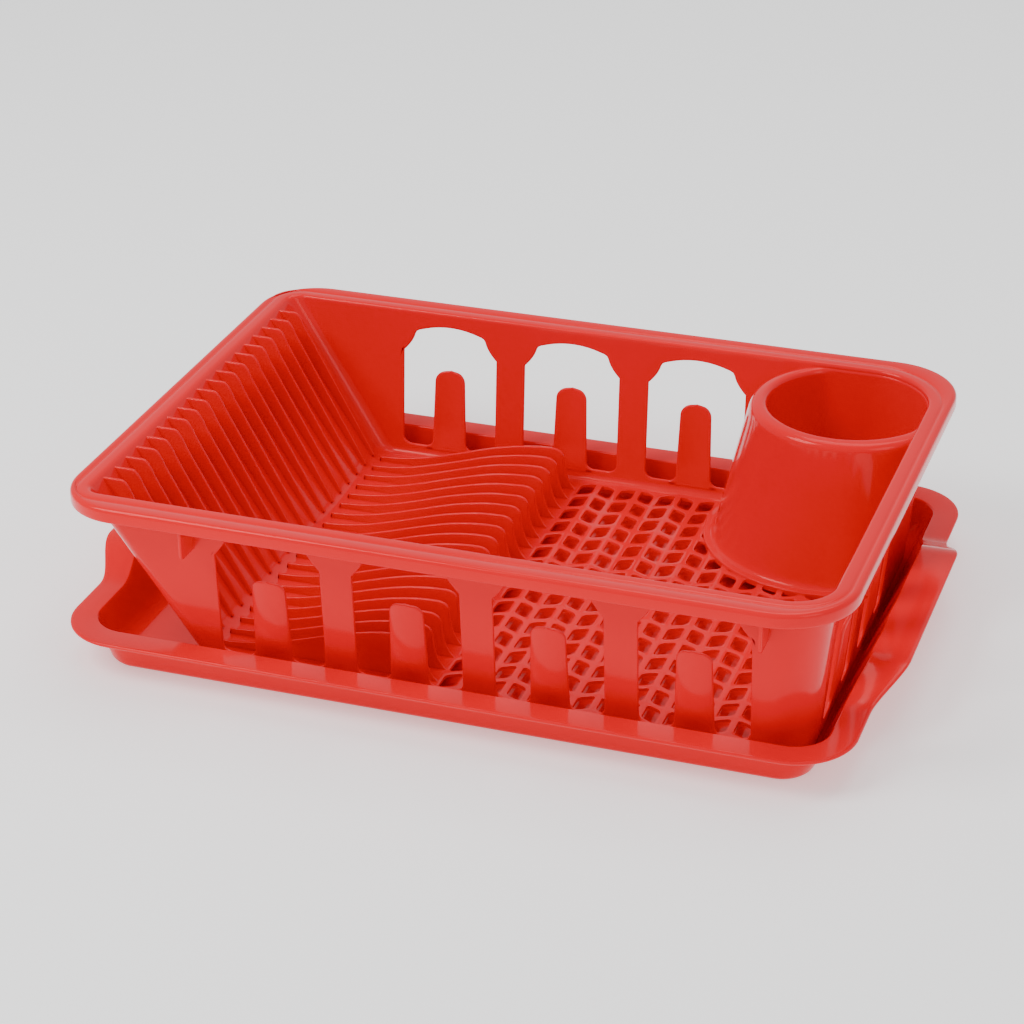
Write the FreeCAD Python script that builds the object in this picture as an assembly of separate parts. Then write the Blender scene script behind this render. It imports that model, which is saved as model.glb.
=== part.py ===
import FreeCAD, Part
import math
import os

from FreeCAD import Vector

# Dish drying rack: a moulded basket that stands in a moulded drip tray.
# Millimetres. +X runs along the rack to the cutlery cup, +Y to the back wall, +Z up.
# The origin is under the middle of the tray, on the surface the rack stands on.

# ---------------------------------------------------------------- driving dimensions
# Basket, overall
RIM_LENGTH = 470.0
RIM_WIDTH = 348.0
RIM_TOP = 113.0
WALL = 2.2
RIM_PLATE_CORNER = 38.0
RIM_CUP_CORNER = 45.0
RIM_FLAT_SIDE = 19.0
RIM_FLAT_END = 14.0
LIP_HEIGHT = 9.0
LIP_ROUND = 1.8
GROOVE_INSET = 8.4
GROOVE_WIDTH = 1.4
GROOVE_DEPTH = 0.6

# Basket walls lean outwards by these runs between the floor and the rim
FLOOR_TOP = 10.0
FLOOR_THICKNESS = 2.4
SIDE_RUN = 7.5
END_RUN = 10.0
PLATE_WALL_RUN = 66.5
PLATE_CORNER = 10.0
END_CORNER = 25.0
CUP_CORNER = 44.0
FOOT_BEVEL = 4.0
PARTING_PAST_CORNER = 1.0
PARTING_PAST_BAY = 2.0

# Arched openings, each with an upright finger in its middle
SIDE_BAYS = 4
END_BAYS = 3
PILLAR = 20.0
SIDE_BAY_FIRST_GAP = 15.0
SIDE_BAY_LAST_GAP = 5.5
END_BAY_GAP = 5.0
SLOT_BOTTOM = 17.5
SLOT_ROUND = 5.0
JAMB_TOP = 84.0
ELBOW_IN = 6.3
ELBOW_RISE = 6.3
ELBOW_ROUND = 9.0
SHOULDER_IN = 8.4
SHOULDER_RISE = 14.4
SHOULDER_ROUND = 3.5
ARCH_TOP = 103.0
ARCH_TIGHTNESS = 0.92
FINGER_TOP = 72.0
FINGER_WIDTH = 21.0
FINGER_FOOT_WIDTH = 23.5
FINGER_ROUND = 7.0

# Plate ribs on the slanted wall and on the floor
RIB_PITCH = 14.6
RIB_THICKNESS = 2.0
RIB_EDGE_CLEARANCE = 14.0
WALL_RIB_TOP = 110.7
WALL_RIB_DEPTH = 11.5
WALL_RIB_NOSE = 6.7
WALL_RIB_ROUND = 9.0
WALL_RIB_CREST_ROUND = 4.5
WALL_RIB_FOOT = 4.5
FLOOR_RIB_LENGTH = 134.0
FLOOR_RIB_START_GAP = 0.5
FLOOR_RIB_LOW = 3.5
FLOOR_RIB_HIGH = 28.0
FLOOR_RIB_SWEEP = 122.0
FLOOR_RIB_STEPS = 12
FLOOR_RIB_END_LEAN = 4.0
FLOOR_RIB_END_DROP = 6.0

# Drain floor
GRILLE_GAP = 6.2
COLUMN_PITCH = 13.54
ROW_PITCH = 18.7
DRAIN_WIDTH = 9.3
DRAIN_LENGTH = 14.4
DRAIN_SLOPE = 0.45
DRAIN_BLUNT_ROUND = 5.0
DRAIN_SHARP_ROUND = 1.2
GRILLE_SHIFT = 3.1
GRILLE_END_MARGIN = 32.0
GRILLE_SIDE_MARGIN = 13.0
DRAIN_KEEP_SHARE = 0.5

# Cutlery cup in the back right corner
CUP_FROM_END = 47.5
CUP_FROM_BACK = 45.5
CUP_RADIUS = 51.5
CUP_FOOT_RADIUS = 46.0
CUP_TOP = 110.0
CUP_LIP = 11.0
CUP_LIP_DROP = 4.0
CUP_LIP_ROUND = 2.2
CUP_MOUTH_ROUND = 1.1
SKIRT_SPREAD = 14.0
SKIRT_SHIFT_X = -9.0
SKIRT_SHIFT_Y = 9.8
LEDGE_WIDTH = 6.3
LEDGE_HEIGHT = 2.0
CUP_DRAIN_RADIUS = 3.2
CUP_DRAIN_CIRCLE = 24.0
CUP_DRAINS = 8

# Rim gussets, in pairs under the rim's front and back
GUSSET_THICKNESS = 2.0
GUSSET_BOTTOM = 86.0
GUSSET_ROUND = 3.0
GUSSET_FROM_PLATE_END = 82.0
GUSSET_FROM_CUP_END = 46.0

# Basket feet
FOOT_RADIUS = 6.0
FOOT_INSET = 24.0

# Drip tray
TRAY_FLANGE_TOP = 25.2
TRAY_OVERHANG_END = 4.8
TRAY_OVERHANG_SIDE = 4.0
TRAY_FLANGE_END = 15.8
TRAY_FLANGE_SIDE = 17.5
TRAY_OUTER_CORNER = 38.0
TRAY_INNER_CORNER = 22.0
TRAY_END_RUN = 11.0
TRAY_SIDE_RUN = 3.0
TRAY_FOOT_BEVEL = 2.5

# Tray handles: the end flanges rise and reach out
HANDLE_RISE = 12.3
HANDLE_REACH = 13.2
HANDLE_HALF = 66.0
RAMP_LENGTH = 44.0
RAMP_STEPS = 8
HANDLE_WALL_START = 20.0

# ---------------------------------------------------------------- worked-out sizes
BIG = 1000.0
TINY = 0.02
FLOOR_UNDER = FLOOR_TOP - FLOOR_THICKNESS
WALL_RISE = RIM_TOP - FLOOR_TOP
PLATE_WALL_SLOPE = PLATE_WALL_RUN / WALL_RISE
PLATE_WALL_SECTION = WALL * math.hypot(1.0, PLATE_WALL_SLOPE)

MOUTH_X = RIM_LENGTH / 2 - RIM_FLAT_END
MOUTH_Y = RIM_WIDTH / 2 - RIM_FLAT_SIDE
FOOT_LEFT = -MOUTH_X + PLATE_WALL_RUN
FOOT_RIGHT = MOUTH_X - END_RUN
FOOT_Y = MOUTH_Y - SIDE_RUN

RIB_SIDE_COUNT = int((FOOT_Y - RIB_EDGE_CLEARANCE) / RIB_PITCH)
RIB_PLACES = [RIB_PITCH * step for step in range(-RIB_SIDE_COUNT, RIB_SIDE_COUNT + 1)]
FLOOR_RIB_START = FOOT_LEFT + FOOT_BEVEL + FLOOR_RIB_START_GAP
FLOOR_RIB_END = FLOOR_RIB_START + FLOOR_RIB_LENGTH

CUP_X = MOUTH_X - CUP_FROM_END
CUP_Y = MOUTH_Y - CUP_FROM_BACK
SHOULDER_RADIUS = CUP_RADIUS + CUP_LIP
SHOULDER_Z = CUP_TOP - CUP_LIP_DROP
SKIRT_RADIUS = SHOULDER_RADIUS + SKIRT_SPREAD
SKIRT_X = CUP_X + SKIRT_SHIFT_X
SKIRT_Y = CUP_Y + SKIRT_SHIFT_Y

TRAY_FLOOR_TOP = WALL
TRAY_X = RIM_LENGTH / 2 + TRAY_OVERHANG_END
TRAY_Y = RIM_WIDTH / 2 + TRAY_OVERHANG_SIDE
TRAY_RISE = TRAY_FLANGE_TOP - TRAY_FLOOR_TOP
TRAY_END_SLOPE = TRAY_END_RUN / TRAY_RISE
TRAY_END_SECTION = WALL * math.hypot(1.0, TRAY_END_SLOPE)
HANDLE_END = HANDLE_HALF + RAMP_LENGTH


# ---------------------------------------------------------------- drawing helpers
def outline(corners, place):
    """Closed wire through corners (a, b, radius), each rounded by its radius; place(a, b) gives the point."""
    starts = []
    ends = []
    middles = []
    for index, (a, b, radius) in enumerate(corners):
        corner = Vector(a, b, 0)
        before = Vector(*corners[index - 1][:2], 0) - corner
        after = Vector(*corners[(index + 1) % len(corners)][:2], 0) - corner
        before.normalize()
        after.normalize()
        half_angle = before.getAngle(after) / 2
        tangent = radius / math.tan(half_angle)
        bisector = before + after
        starts.append(corner + before * tangent)
        ends.append(corner + after * tangent)
        if radius > 0:
            bisector.normalize()
            middles.append(corner + bisector * (radius / math.sin(half_angle) - radius))
        else:
            middles.append(None)
    edges = []
    for index in range(len(corners)):
        if middles[index] is not None:
            arc_points = [place(p.x, p.y) for p in (starts[index], middles[index], ends[index])]
            edges.append(Part.Arc(*arc_points).toShape())
        following = starts[(index + 1) % len(corners)]
        if following.distanceToPoint(ends[index]) > TINY:
            line_ends = (place(ends[index].x, ends[index].y), place(following.x, following.y))
            edges.append(Part.LineSegment(*line_ends).toShape())
    return Part.Wire(edges)


def level(z):
    """Place (a, b) at (x, y) on a horizontal plane."""
    return lambda a, b: Vector(a, b, z)


def facing_y(y):
    """Place (a, b) at (x, z) on an upright plane across Y."""
    return lambda a, b: Vector(a, y, b)


def facing_x(x):
    """Place (a, b) at (y, z) on an upright plane across X."""
    return lambda a, b: Vector(x, a, b)


def rectangle(left, right, half_width, left_radius, right_radius, z):
    """Rounded rectangle wire, the same half-width on both sides of y = 0."""
    corners = [
        (left, -half_width, left_radius),
        (right, -half_width, right_radius),
        (right, half_width, right_radius),
        (left, half_width, left_radius),
    ]
    return outline(corners, level(z))


def prism(wire, direction):
    """Solid swept from a flat wire."""
    return Part.Face(wire).extrude(direction)


def loft(wires):
    """Solid through wires, straight from each to the next."""
    return Part.makeLoft(wires, True, True)


def rounded_block(half_x, half_y, left_radius, right_radius, bottom, top):
    """Upright block with rounded corners, centred on the origin."""
    wire = rectangle(-half_x, half_x, half_y, left_radius, right_radius, bottom)
    return prism(wire, Vector(0, 0, top - bottom))


def box(x0, x1, y0, y1, z0, z1):
    """Box between two corners."""
    return Part.makeBox(x1 - x0, y1 - y0, z1 - z0, Vector(x0, y0, z0))


def mirrored_x(shape):
    """Copy of a shape on the other side of x = 0."""
    return shape.mirror(Vector(0, 0, 0), Vector(1, 0, 0))


def mirrored_y(shape):
    """Copy of a shape on the other side of y = 0."""
    return shape.mirror(Vector(0, 0, 0), Vector(0, 1, 0))


def group(shapes):
    """Separate solids of one node."""
    return Part.makeCompound([solid for shape in shapes for solid in shape.Solids])


# ---------------------------------------------------------------- basket shell
def basket_outline(left, right, half_width, offset, z):
    """Outline that follows the basket's four corners, their radii grown by offset."""
    corners = [
        (left, -half_width, PLATE_CORNER + offset),
        (right, -half_width, END_CORNER + offset),
        (right, half_width, CUP_CORNER + offset),
        (left, half_width, PLATE_CORNER + offset),
    ]
    return outline(corners, level(z))


def basket_wire(z, offset, section, inset):
    """Outline of the basket's wall at height z, offset outwards, with its foot pulled in by inset."""
    rise = (z - FLOOR_TOP) / WALL_RISE
    left = FOOT_LEFT - PLATE_WALL_RUN * rise - section + inset
    right = FOOT_RIGHT + END_RUN * rise + offset - inset
    half_width = FOOT_Y + SIDE_RUN * rise + offset - inset
    return basket_outline(left, right, half_width, offset, z)


def basket_inside():
    """Space inside the walls, from the underside of the floor to the rim."""
    wires = [
        basket_wire(FLOOR_UNDER, 0, 0, FOOT_BEVEL),
        basket_wire(FLOOR_TOP, 0, 0, FOOT_BEVEL),
        basket_wire(FLOOR_TOP + FOOT_BEVEL, 0, 0, 0),
        basket_wire(RIM_TOP, 0, 0, 0),
    ]
    return loft(wires)


def basket_outside():
    """Solid bounded by the outside of the walls."""
    wires = [basket_wire(z, WALL, PLATE_WALL_SECTION, 0) for z in (FLOOR_UNDER, RIM_TOP)]
    return loft(wires)


def bay_outline(width, place):
    """Arched opening around a finger: one wire that runs up the jambs, over the arch and round the finger."""
    half = width / 2
    spring = half - SHOULDER_IN
    spring_z = JAMB_TOP + SHOULDER_RISE
    crown = ARCH_TOP - spring_z
    arch_radius = ARCH_TIGHTNESS * (spring ** 2 + crown ** 2) / (2 * crown)
    arch_drop = arch_radius - crown
    arch_lean = math.atan2(spring, arch_drop) - math.acos(arch_radius / math.hypot(spring, arch_drop))
    right_side = [
        (half, SLOT_BOTTOM, SLOT_ROUND),
        (half, JAMB_TOP, 0),
        (half - ELBOW_IN, JAMB_TOP + ELBOW_RISE, ELBOW_ROUND),
        (spring, spring_z, SHOULDER_ROUND),
    ]
    finger_side = [
        (FINGER_WIDTH / 2, FINGER_TOP, FINGER_ROUND),
        (FINGER_FOOT_WIDTH / 2, SLOT_BOTTOM, SLOT_ROUND),
    ]
    apex = [(0, spring_z + spring * math.tan(arch_lean), arch_radius)]
    left_side = [(-a, b, radius) for a, b, radius in reversed(right_side)]
    finger_left = [(-a, b, radius) for a, b, radius in reversed(finger_side)]
    return outline(right_side + apex + left_side + finger_left + finger_side, place)


def bay_places(first, last, count):
    """Bay width and bay centres that fill a run of wall with pillars between the bays."""
    width = (last - first - (count - 1) * PILLAR) / count
    centres = [first + width / 2 + index * (width + PILLAR) for index in range(count)]
    return width, centres


SIDE_BAY_WIDTH, SIDE_BAY_CENTRES = bay_places(
    FOOT_LEFT + SIDE_BAY_FIRST_GAP, FOOT_RIGHT - END_CORNER - SIDE_BAY_LAST_GAP, SIDE_BAYS)
END_BAY_EDGE = FOOT_Y - END_CORNER - END_BAY_GAP
END_BAY_WIDTH, END_BAY_CENTRES = bay_places(-END_BAY_EDGE, END_BAY_EDGE, END_BAYS)


def side_bays(centres, towards):
    """Cutters for the bays of the front wall (towards = -1) or back wall (towards = 1)."""
    sweep = Vector(0, towards * BIG, 0)
    cutters = []
    for centre in centres:
        wire = bay_outline(SIDE_BAY_WIDTH, facing_y(0))
        cutter = prism(wire, sweep)
        cutter.translate(Vector(centre, 0, 0))
        cutters.append(cutter)
    return cutters


def end_bays(centres):
    """Cutters for the bays of the end wall."""
    cutters = []
    for centre in centres:
        cutter = prism(bay_outline(END_BAY_WIDTH, facing_x(0)), Vector(BIG, 0, 0))
        cutter.translate(Vector(0, centre, 0))
        cutters.append(cutter)
    return cutters


def split_walls(shell):
    """The shell as front, back, plate and end walls, parted beside the corners."""
    plate_edge = FOOT_Y - PLATE_CORNER + PARTING_PAST_CORNER
    end_edge = END_BAY_EDGE + PARTING_PAST_BAY
    front_zone = box(-BIG, 0, -BIG, -plate_edge, 0, BIG)
    front_zone = front_zone.fuse(box(0, BIG, -BIG, -end_edge, 0, BIG))
    front = shell.common(front_zone)
    back = shell.common(mirrored_y(front_zone))
    plate = shell.common(box(-BIG, 0, -plate_edge, plate_edge, 0, BIG))
    end = shell.common(box(0, BIG, -end_edge, end_edge, 0, BIG))
    return front, back, plate, end


def finger_zone(centres, along_x):
    """Boxes that hold the fingers above the rounded bottom of the slots, for a wall along X or along Y."""
    half = FINGER_FOOT_WIDTH / 2
    bottom = SLOT_BOTTOM + SLOT_ROUND
    zones = []
    for centre in centres:
        across = (centre - half, centre + half)
        sides = (*across, -BIG, BIG) if along_x else (-BIG, BIG, *across)
        zones.append(box(*sides, bottom, JAMB_TOP))
    return Part.makeCompound(zones)


# ---------------------------------------------------------------- rim, gussets and feet
def make_rim(outside):
    """Flat rim round the mouth with a turned-down lip and a shallow groove."""
    half_x = RIM_LENGTH / 2
    half_y = RIM_WIDTH / 2
    radii = (RIM_PLATE_CORNER, RIM_CUP_CORNER)
    block = rounded_block(half_x, half_y, *radii, RIM_TOP - LIP_HEIGHT, RIM_TOP)
    top_edges = [edge for edge in block.Edges if edge.BoundBox.ZMin > RIM_TOP - TINY]
    block = block.makeFillet(LIP_ROUND, top_edges)
    inner_radii = [radius - WALL for radius in radii]
    hollow = rounded_block(half_x - WALL, half_y - WALL, *inner_radii, FLOOR_TOP, RIM_TOP - WALL)
    groove_outer = groove_block(GROOVE_WIDTH / 2)
    groove_inner = groove_block(-GROOVE_WIDTH / 2)
    return block.cut(hollow).cut(outside).cut(groove_outer.cut(groove_inner))


def groove_block(grow):
    """Block whose side follows the middle of the groove, grown outwards."""
    half_x = MOUTH_X + GROOVE_INSET + grow
    half_y = MOUTH_Y + GROOVE_INSET + grow
    bottom = RIM_TOP - GROOVE_DEPTH
    wire = basket_outline(-half_x, half_x, half_y, GROOVE_INSET + grow, bottom)
    return prism(wire, Vector(0, 0, 2 * GROOVE_DEPTH))


def make_gussets(outside):
    """Thin fins between the front and back walls and the inside of the lip."""
    reach = RIM_WIDTH / 2 - WALL
    top = RIM_TOP - WALL
    corners = [
        (0, GUSSET_BOTTOM, 0),
        (reach, GUSSET_BOTTOM, GUSSET_ROUND),
        (reach, top, 0),
        (0, top, 0),
    ]
    fins = []
    for x in (-RIM_LENGTH / 2 + GUSSET_FROM_PLATE_END, RIM_LENGTH / 2 - GUSSET_FROM_CUP_END):
        wire = outline(corners, facing_x(x - GUSSET_THICKNESS / 2))
        fin = prism(wire, Vector(GUSSET_THICKNESS, 0, 0))
        fins.append(fin.cut(outside))
        fins.append(mirrored_y(fin).cut(outside))
    return group(fins)


def make_feet():
    """Round pads that hold the basket's floor off the tray's floor."""
    left = FLOOR_RIB_START + FOOT_INSET
    right = FOOT_RIGHT - FOOT_INSET + FOOT_RADIUS
    side = FOOT_Y - FOOT_INSET
    places = [(left, -side), (left, side), (right, -side), (CUP_X, CUP_Y)]
    height = FLOOR_UNDER - TRAY_FLOOR_TOP
    pads = [Part.makeCylinder(FOOT_RADIUS, height, Vector(x, y, TRAY_FLOOR_TOP)) for x, y in places]
    return group(pads)


# ---------------------------------------------------------------- plate ribs
def wall_rib_wire(y):
    """A rib on the slanted wall: flat top, rounded nose, then a straight edge running into the wall's foot."""
    top_x = -MOUTH_X + (RIM_TOP - WALL_RIB_TOP) * PLATE_WALL_SLOPE
    nose_z = WALL_RIB_TOP - WALL_RIB_NOSE
    nose_x = top_x + WALL_RIB_DEPTH + WALL_RIB_NOSE * PLATE_WALL_SLOPE
    foot_z = FLOOR_TOP + WALL_RIB_FOOT
    foot_x = FOOT_LEFT - WALL_RIB_FOOT * PLATE_WALL_SLOPE
    corners = [
        (top_x, WALL_RIB_TOP, 0),
        (top_x + WALL_RIB_DEPTH, WALL_RIB_TOP, WALL_RIB_CREST_ROUND),
        (nose_x, nose_z, WALL_RIB_ROUND),
        (foot_x, foot_z, 0),
    ]
    return outline(corners, facing_y(y))


def floor_rib_wire(y):
    """A rib on the floor whose top edge sweeps up in an S and drops at its free end."""
    low = FLOOR_TOP + FLOOR_RIB_LOW
    high = FLOOR_TOP + FLOOR_RIB_HIGH
    crest = FLOOR_RIB_START + FLOOR_RIB_SWEEP
    lean_x = FLOOR_RIB_END - FLOOR_RIB_END_LEAN
    sweep_points = []
    for step in range(FLOOR_RIB_STEPS + 1):
        share = step / FLOOR_RIB_STEPS
        height = low + (high - low) * (1 - math.cos(math.pi * share)) / 2
        sweep_points.append(Vector(FLOOR_RIB_START + FLOOR_RIB_SWEEP * share, y, height))
    sweep = Part.BSplineCurve()
    sweep.interpolate(sweep_points)
    round_end = Vector(lean_x, y, high - FLOOR_RIB_END_DROP)
    gap = lean_x - crest
    round_middle = Vector(crest + gap * math.sqrt(0.5), y, round_end.z + FLOOR_RIB_END_DROP * math.sqrt(0.5))
    nose = Part.Arc(sweep_points[-1], round_middle, round_end)
    edge_points = [round_end, Vector(FLOOR_RIB_END, y, FLOOR_TOP), Vector(FLOOR_RIB_START, y, FLOOR_TOP)]
    edge_points.append(sweep_points[0])
    edges = [sweep.toShape(), nose.toShape()]
    edges += [Part.LineSegment(a, b).toShape() for a, b in zip(edge_points, edge_points[1:])]
    return Part.Wire(edges)


def make_ribs(rib_wire):
    """One rib at every place along the plate wall."""
    half = RIB_THICKNESS / 2
    return [prism(rib_wire(y - half), Vector(0, RIB_THICKNESS, 0)) for y in RIB_PLACES]


# ---------------------------------------------------------------- cutlery cup
def skirt_cone(grow):
    """Leaning cone under the cup's lip, from the floor's underside to the shoulder, grown by its wall."""
    rise = (FLOOR_TOP - FLOOR_UNDER) / (SHOULDER_Z - FLOOR_TOP)
    foot = Vector(SKIRT_X + SKIRT_SHIFT_X * rise, SKIRT_Y + SKIRT_SHIFT_Y * rise, FLOOR_UNDER)
    foot_radius = SKIRT_RADIUS + SKIRT_SPREAD * rise + grow
    up = Vector(0, 0, 1)
    low = Part.Wire(Part.makeCircle(foot_radius, foot, up))
    high = Part.Wire(Part.makeCircle(SHOULDER_RADIUS + grow, Vector(CUP_X, CUP_Y, SHOULDER_Z), up))
    return loft([low, high])


def make_cup(inside):
    """Cup with a rounded lip and a closed, drained bottom, cut off where it meets the walls."""
    outer_foot = CUP_FOOT_RADIUS + WALL
    under_lip = CUP_TOP - WALL
    profile = [
        (0, FLOOR_UNDER, 0),
        (outer_foot, FLOOR_UNDER, 0),
        (CUP_RADIUS + WALL, under_lip, 0),
        (SHOULDER_RADIUS - WALL, under_lip, 0),
        (SHOULDER_RADIUS - WALL, SHOULDER_Z, 0),
        (SHOULDER_RADIUS, SHOULDER_Z, 0),
        (SHOULDER_RADIUS, CUP_TOP, CUP_LIP_ROUND),
        (CUP_RADIUS, CUP_TOP, CUP_MOUTH_ROUND),
        (CUP_FOOT_RADIUS, FLOOR_TOP, 0),
        (0, FLOOR_TOP, 0),
    ]
    face = Part.Face(outline(profile, facing_y(0)))
    cup = face.revolve(Vector(0, 0, 0), Vector(0, 0, 1), 360)
    cup.translate(Vector(CUP_X, CUP_Y, 0))
    drains = []
    for index in range(CUP_DRAINS):
        angle = 2 * math.pi * index / CUP_DRAINS
        x = CUP_X + CUP_DRAIN_CIRCLE * math.cos(angle)
        y = CUP_Y + CUP_DRAIN_CIRCLE * math.sin(angle)
        drains.append(Part.makeCylinder(CUP_DRAIN_RADIUS, FLOOR_TOP, Vector(x, y, FLOOR_THICKNESS)))
    return cup.common(inside).cut(Part.makeCompound(drains))


def make_skirt(inside):
    """Outer skin of the cup, from its lip to the floor."""
    return skirt_cone(0).cut(skirt_cone(-WALL)).common(inside)


def make_ledge(inside):
    """Low step round the foot of the skirt, on top of the floor."""
    top = FLOOR_TOP + LEDGE_HEIGHT
    centre = Vector(SKIRT_X, SKIRT_Y, FLOOR_TOP)
    disc = Part.makeCylinder(SKIRT_RADIUS + LEDGE_WIDTH, top - FLOOR_TOP, centre)
    return disc.cut(skirt_cone(0)).common(inside)


# ---------------------------------------------------------------- drain floor
def drain_wire(x, y, slope):
    """One drain hole: upright sides, slanted ends, blunt corners well rounded and sharp corners tight."""
    half = DRAIN_WIDTH / 2
    tall = DRAIN_LENGTH / 2
    tilt = slope * half
    rounds = (DRAIN_SHARP_ROUND, DRAIN_BLUNT_ROUND) if slope > 0 else (DRAIN_BLUNT_ROUND, DRAIN_SHARP_ROUND)
    corners = [
        (x - half, y - tall - tilt, rounds[0]),
        (x + half, y - tall + tilt, rounds[1]),
        (x + half, y + tall + tilt, rounds[0]),
        (x - half, y + tall - tilt, rounds[1]),
    ]
    return outline(corners, level(FLOOR_UNDER))


def make_drains():
    """Rows of drain holes whose cross-bars zig-zag from column to column."""
    first = FLOOR_RIB_END + GRILLE_GAP + DRAIN_WIDTH / 2
    columns = 1 + int((FOOT_RIGHT - GRILLE_END_MARGIN - first) / COLUMN_PITCH)
    side_rows = int((FOOT_Y - GRILLE_SIDE_MARGIN) / ROW_PITCH)
    keep_off = Part.makeCylinder(SKIRT_RADIUS + LEDGE_WIDTH + WALL, BIG, Vector(SKIRT_X, SKIRT_Y, 0))
    holes = []
    for column in range(columns):
        slope = DRAIN_SLOPE if column % 2 == 0 else -DRAIN_SLOPE
        for row in range(-side_rows, side_rows + 1):
            centre_y = GRILLE_SHIFT + row * ROW_PITCH
            wire = drain_wire(first + column * COLUMN_PITCH, centre_y, slope)
            holes.append(prism(wire, Vector(0, 0, FLOOR_THICKNESS)))
    cut_back = Part.makeCompound(holes).cut(keep_off)
    smallest = DRAIN_KEEP_SHARE * DRAIN_WIDTH * DRAIN_LENGTH * FLOOR_THICKNESS
    return Part.makeCompound([hole for hole in cut_back.Solids if hole.Volume > smallest])


def make_floor(inside):
    """Drain floor between the walls, open under the hollow of the cup."""
    slab = inside.common(box(-BIG, BIG, -BIG, BIG, FLOOR_UNDER, FLOOR_TOP))
    return slab.cut(make_drains()).cut(skirt_cone(0))


# ---------------------------------------------------------------- drip tray
def tray_wire(z, offset, section, inset):
    """Outline of the tray's wall at height z, offset outwards, with its foot pulled in by inset."""
    fall = (TRAY_FLANGE_TOP - z) / TRAY_RISE
    half_x = TRAY_X - TRAY_FLANGE_END - TRAY_END_RUN * fall + section - inset
    half_y = TRAY_Y - TRAY_FLANGE_SIDE - TRAY_SIDE_RUN * fall + offset - inset
    radius = TRAY_INNER_CORNER + offset - inset
    return rectangle(-half_x, half_x, half_y, radius, radius, z)


def tray_outside():
    """Solid bounded by the outside of the tray's walls."""
    wires = [
        tray_wire(0, WALL, TRAY_END_SECTION, TRAY_FOOT_BEVEL),
        tray_wire(TRAY_FOOT_BEVEL, WALL, TRAY_END_SECTION, 0),
        tray_wire(TRAY_FLANGE_TOP, WALL, TRAY_END_SECTION, 0),
    ]
    return loft(wires)


def make_tray(outside):
    """Shallow pan whose end walls stop lower where the handles take over."""
    wires = [
        tray_wire(TRAY_FLOOR_TOP, 0, 0, TRAY_FOOT_BEVEL),
        tray_wire(TRAY_FLOOR_TOP + TRAY_FOOT_BEVEL, 0, 0, 0),
        tray_wire(TRAY_FLANGE_TOP, 0, 0, 0),
    ]
    pan = outside.cut(loft(wires))
    return pan.cut(handle_zone(HANDLE_WALL_START))


def handle_zone(bottom):
    """Space across both ends of the tray that the handles fill."""
    return box(-BIG, BIG, -HANDLE_END, HANDLE_END, bottom, BIG).cut(
        box(-TRAY_X / 2, TRAY_X / 2, -BIG, BIG, 0, BIG))


def make_flange(outside):
    """Flat flange round the tray, parted where the handles rise."""
    bottom = TRAY_FLANGE_TOP - WALL
    radius = TRAY_OUTER_CORNER
    ring = rounded_block(TRAY_X, TRAY_Y, radius, radius, bottom, TRAY_FLANGE_TOP)
    return group([ring.cut(outside).cut(handle_zone(0))])


def handle_section(y, lift):
    """Section through a handle at y: a wall that leans out and the grip that turns out from its top."""
    top = TRAY_FLANGE_TOP + HANDLE_RISE * lift
    foot_x = TRAY_X - TRAY_FLANGE_END - TRAY_END_SLOPE * (TRAY_FLANGE_TOP - HANDLE_WALL_START)
    inner_top_x = foot_x + TRAY_END_SLOPE * (top - HANDLE_WALL_START)
    under_x = foot_x + TRAY_END_SECTION + TRAY_END_SLOPE * (top - WALL - HANDLE_WALL_START)
    reach = TRAY_X + HANDLE_REACH * lift
    corners = [
        (foot_x, HANDLE_WALL_START, 0),
        (inner_top_x, top, 0),
        (reach, top, 0),
        (reach, top - WALL, 0),
        (under_x, top - WALL, 0),
        (foot_x + TRAY_END_SECTION, HANDLE_WALL_START, 0),
    ]
    return outline(corners, facing_y(y))


def make_handle():
    """Right handle: level grip in the middle, an S-shaped ramp down to the flange at each side."""
    grip = loft([handle_section(-HANDLE_HALF, 1), handle_section(HANDLE_HALF, 1)])
    stations = []
    for step in range(RAMP_STEPS + 1):
        share = step / RAMP_STEPS
        lift = (1 + math.cos(math.pi * share)) / 2
        stations.append(handle_section(HANDLE_HALF + RAMP_LENGTH * share, lift))
    ramp = loft(stations)
    return group([grip, ramp, mirrored_y(ramp)])


# ---------------------------------------------------------------- all nodes
def make_nodes():
    """Every node of the rack by name."""
    inside = basket_inside()
    outside = basket_outside()
    front, back, plate, end = split_walls(outside.cut(inside))
    back_centres = SIDE_BAY_CENTRES[:-1]
    end_centres = END_BAY_CENTRES[:-1]
    nodes = {}
    parted = {
        "front": (front, side_bays(SIDE_BAY_CENTRES, -1), finger_zone(SIDE_BAY_CENTRES, True)),
        "back": (back, side_bays(back_centres, 1), finger_zone(back_centres, True)),
        "end": (end, end_bays(end_centres), finger_zone(end_centres, False)),
    }
    for name, (wall, openings, zone) in parted.items():
        opened = wall.cut(Part.makeCompound(openings))
        nodes[name + "_wall"] = opened.cut(zone)
        nodes[name + "_fingers"] = group([opened.common(zone)])
    nodes["plate_wall"] = plate
    nodes["basket_rim"] = make_rim(outside)
    nodes["rim_gussets"] = make_gussets(outside)
    nodes["wall_plate_ribs"] = group(make_ribs(wall_rib_wire))
    nodes["floor_plate_ribs"] = group(make_ribs(floor_rib_wire))
    nodes["drain_floor"] = make_floor(inside)
    nodes["cutlery_cup"] = make_cup(inside)
    nodes["cup_skirt"] = make_skirt(inside)
    nodes["cup_ledge"] = make_ledge(inside)
    nodes["basket_feet"] = make_feet()
    pan_outside = tray_outside()
    nodes["drip_tray"] = make_tray(pan_outside)
    nodes["tray_flange"] = make_flange(pan_outside)
    nodes["right_handle"] = make_handle()
    nodes["left_handle"] = mirrored_x(nodes["right_handle"])
    return nodes


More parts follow.
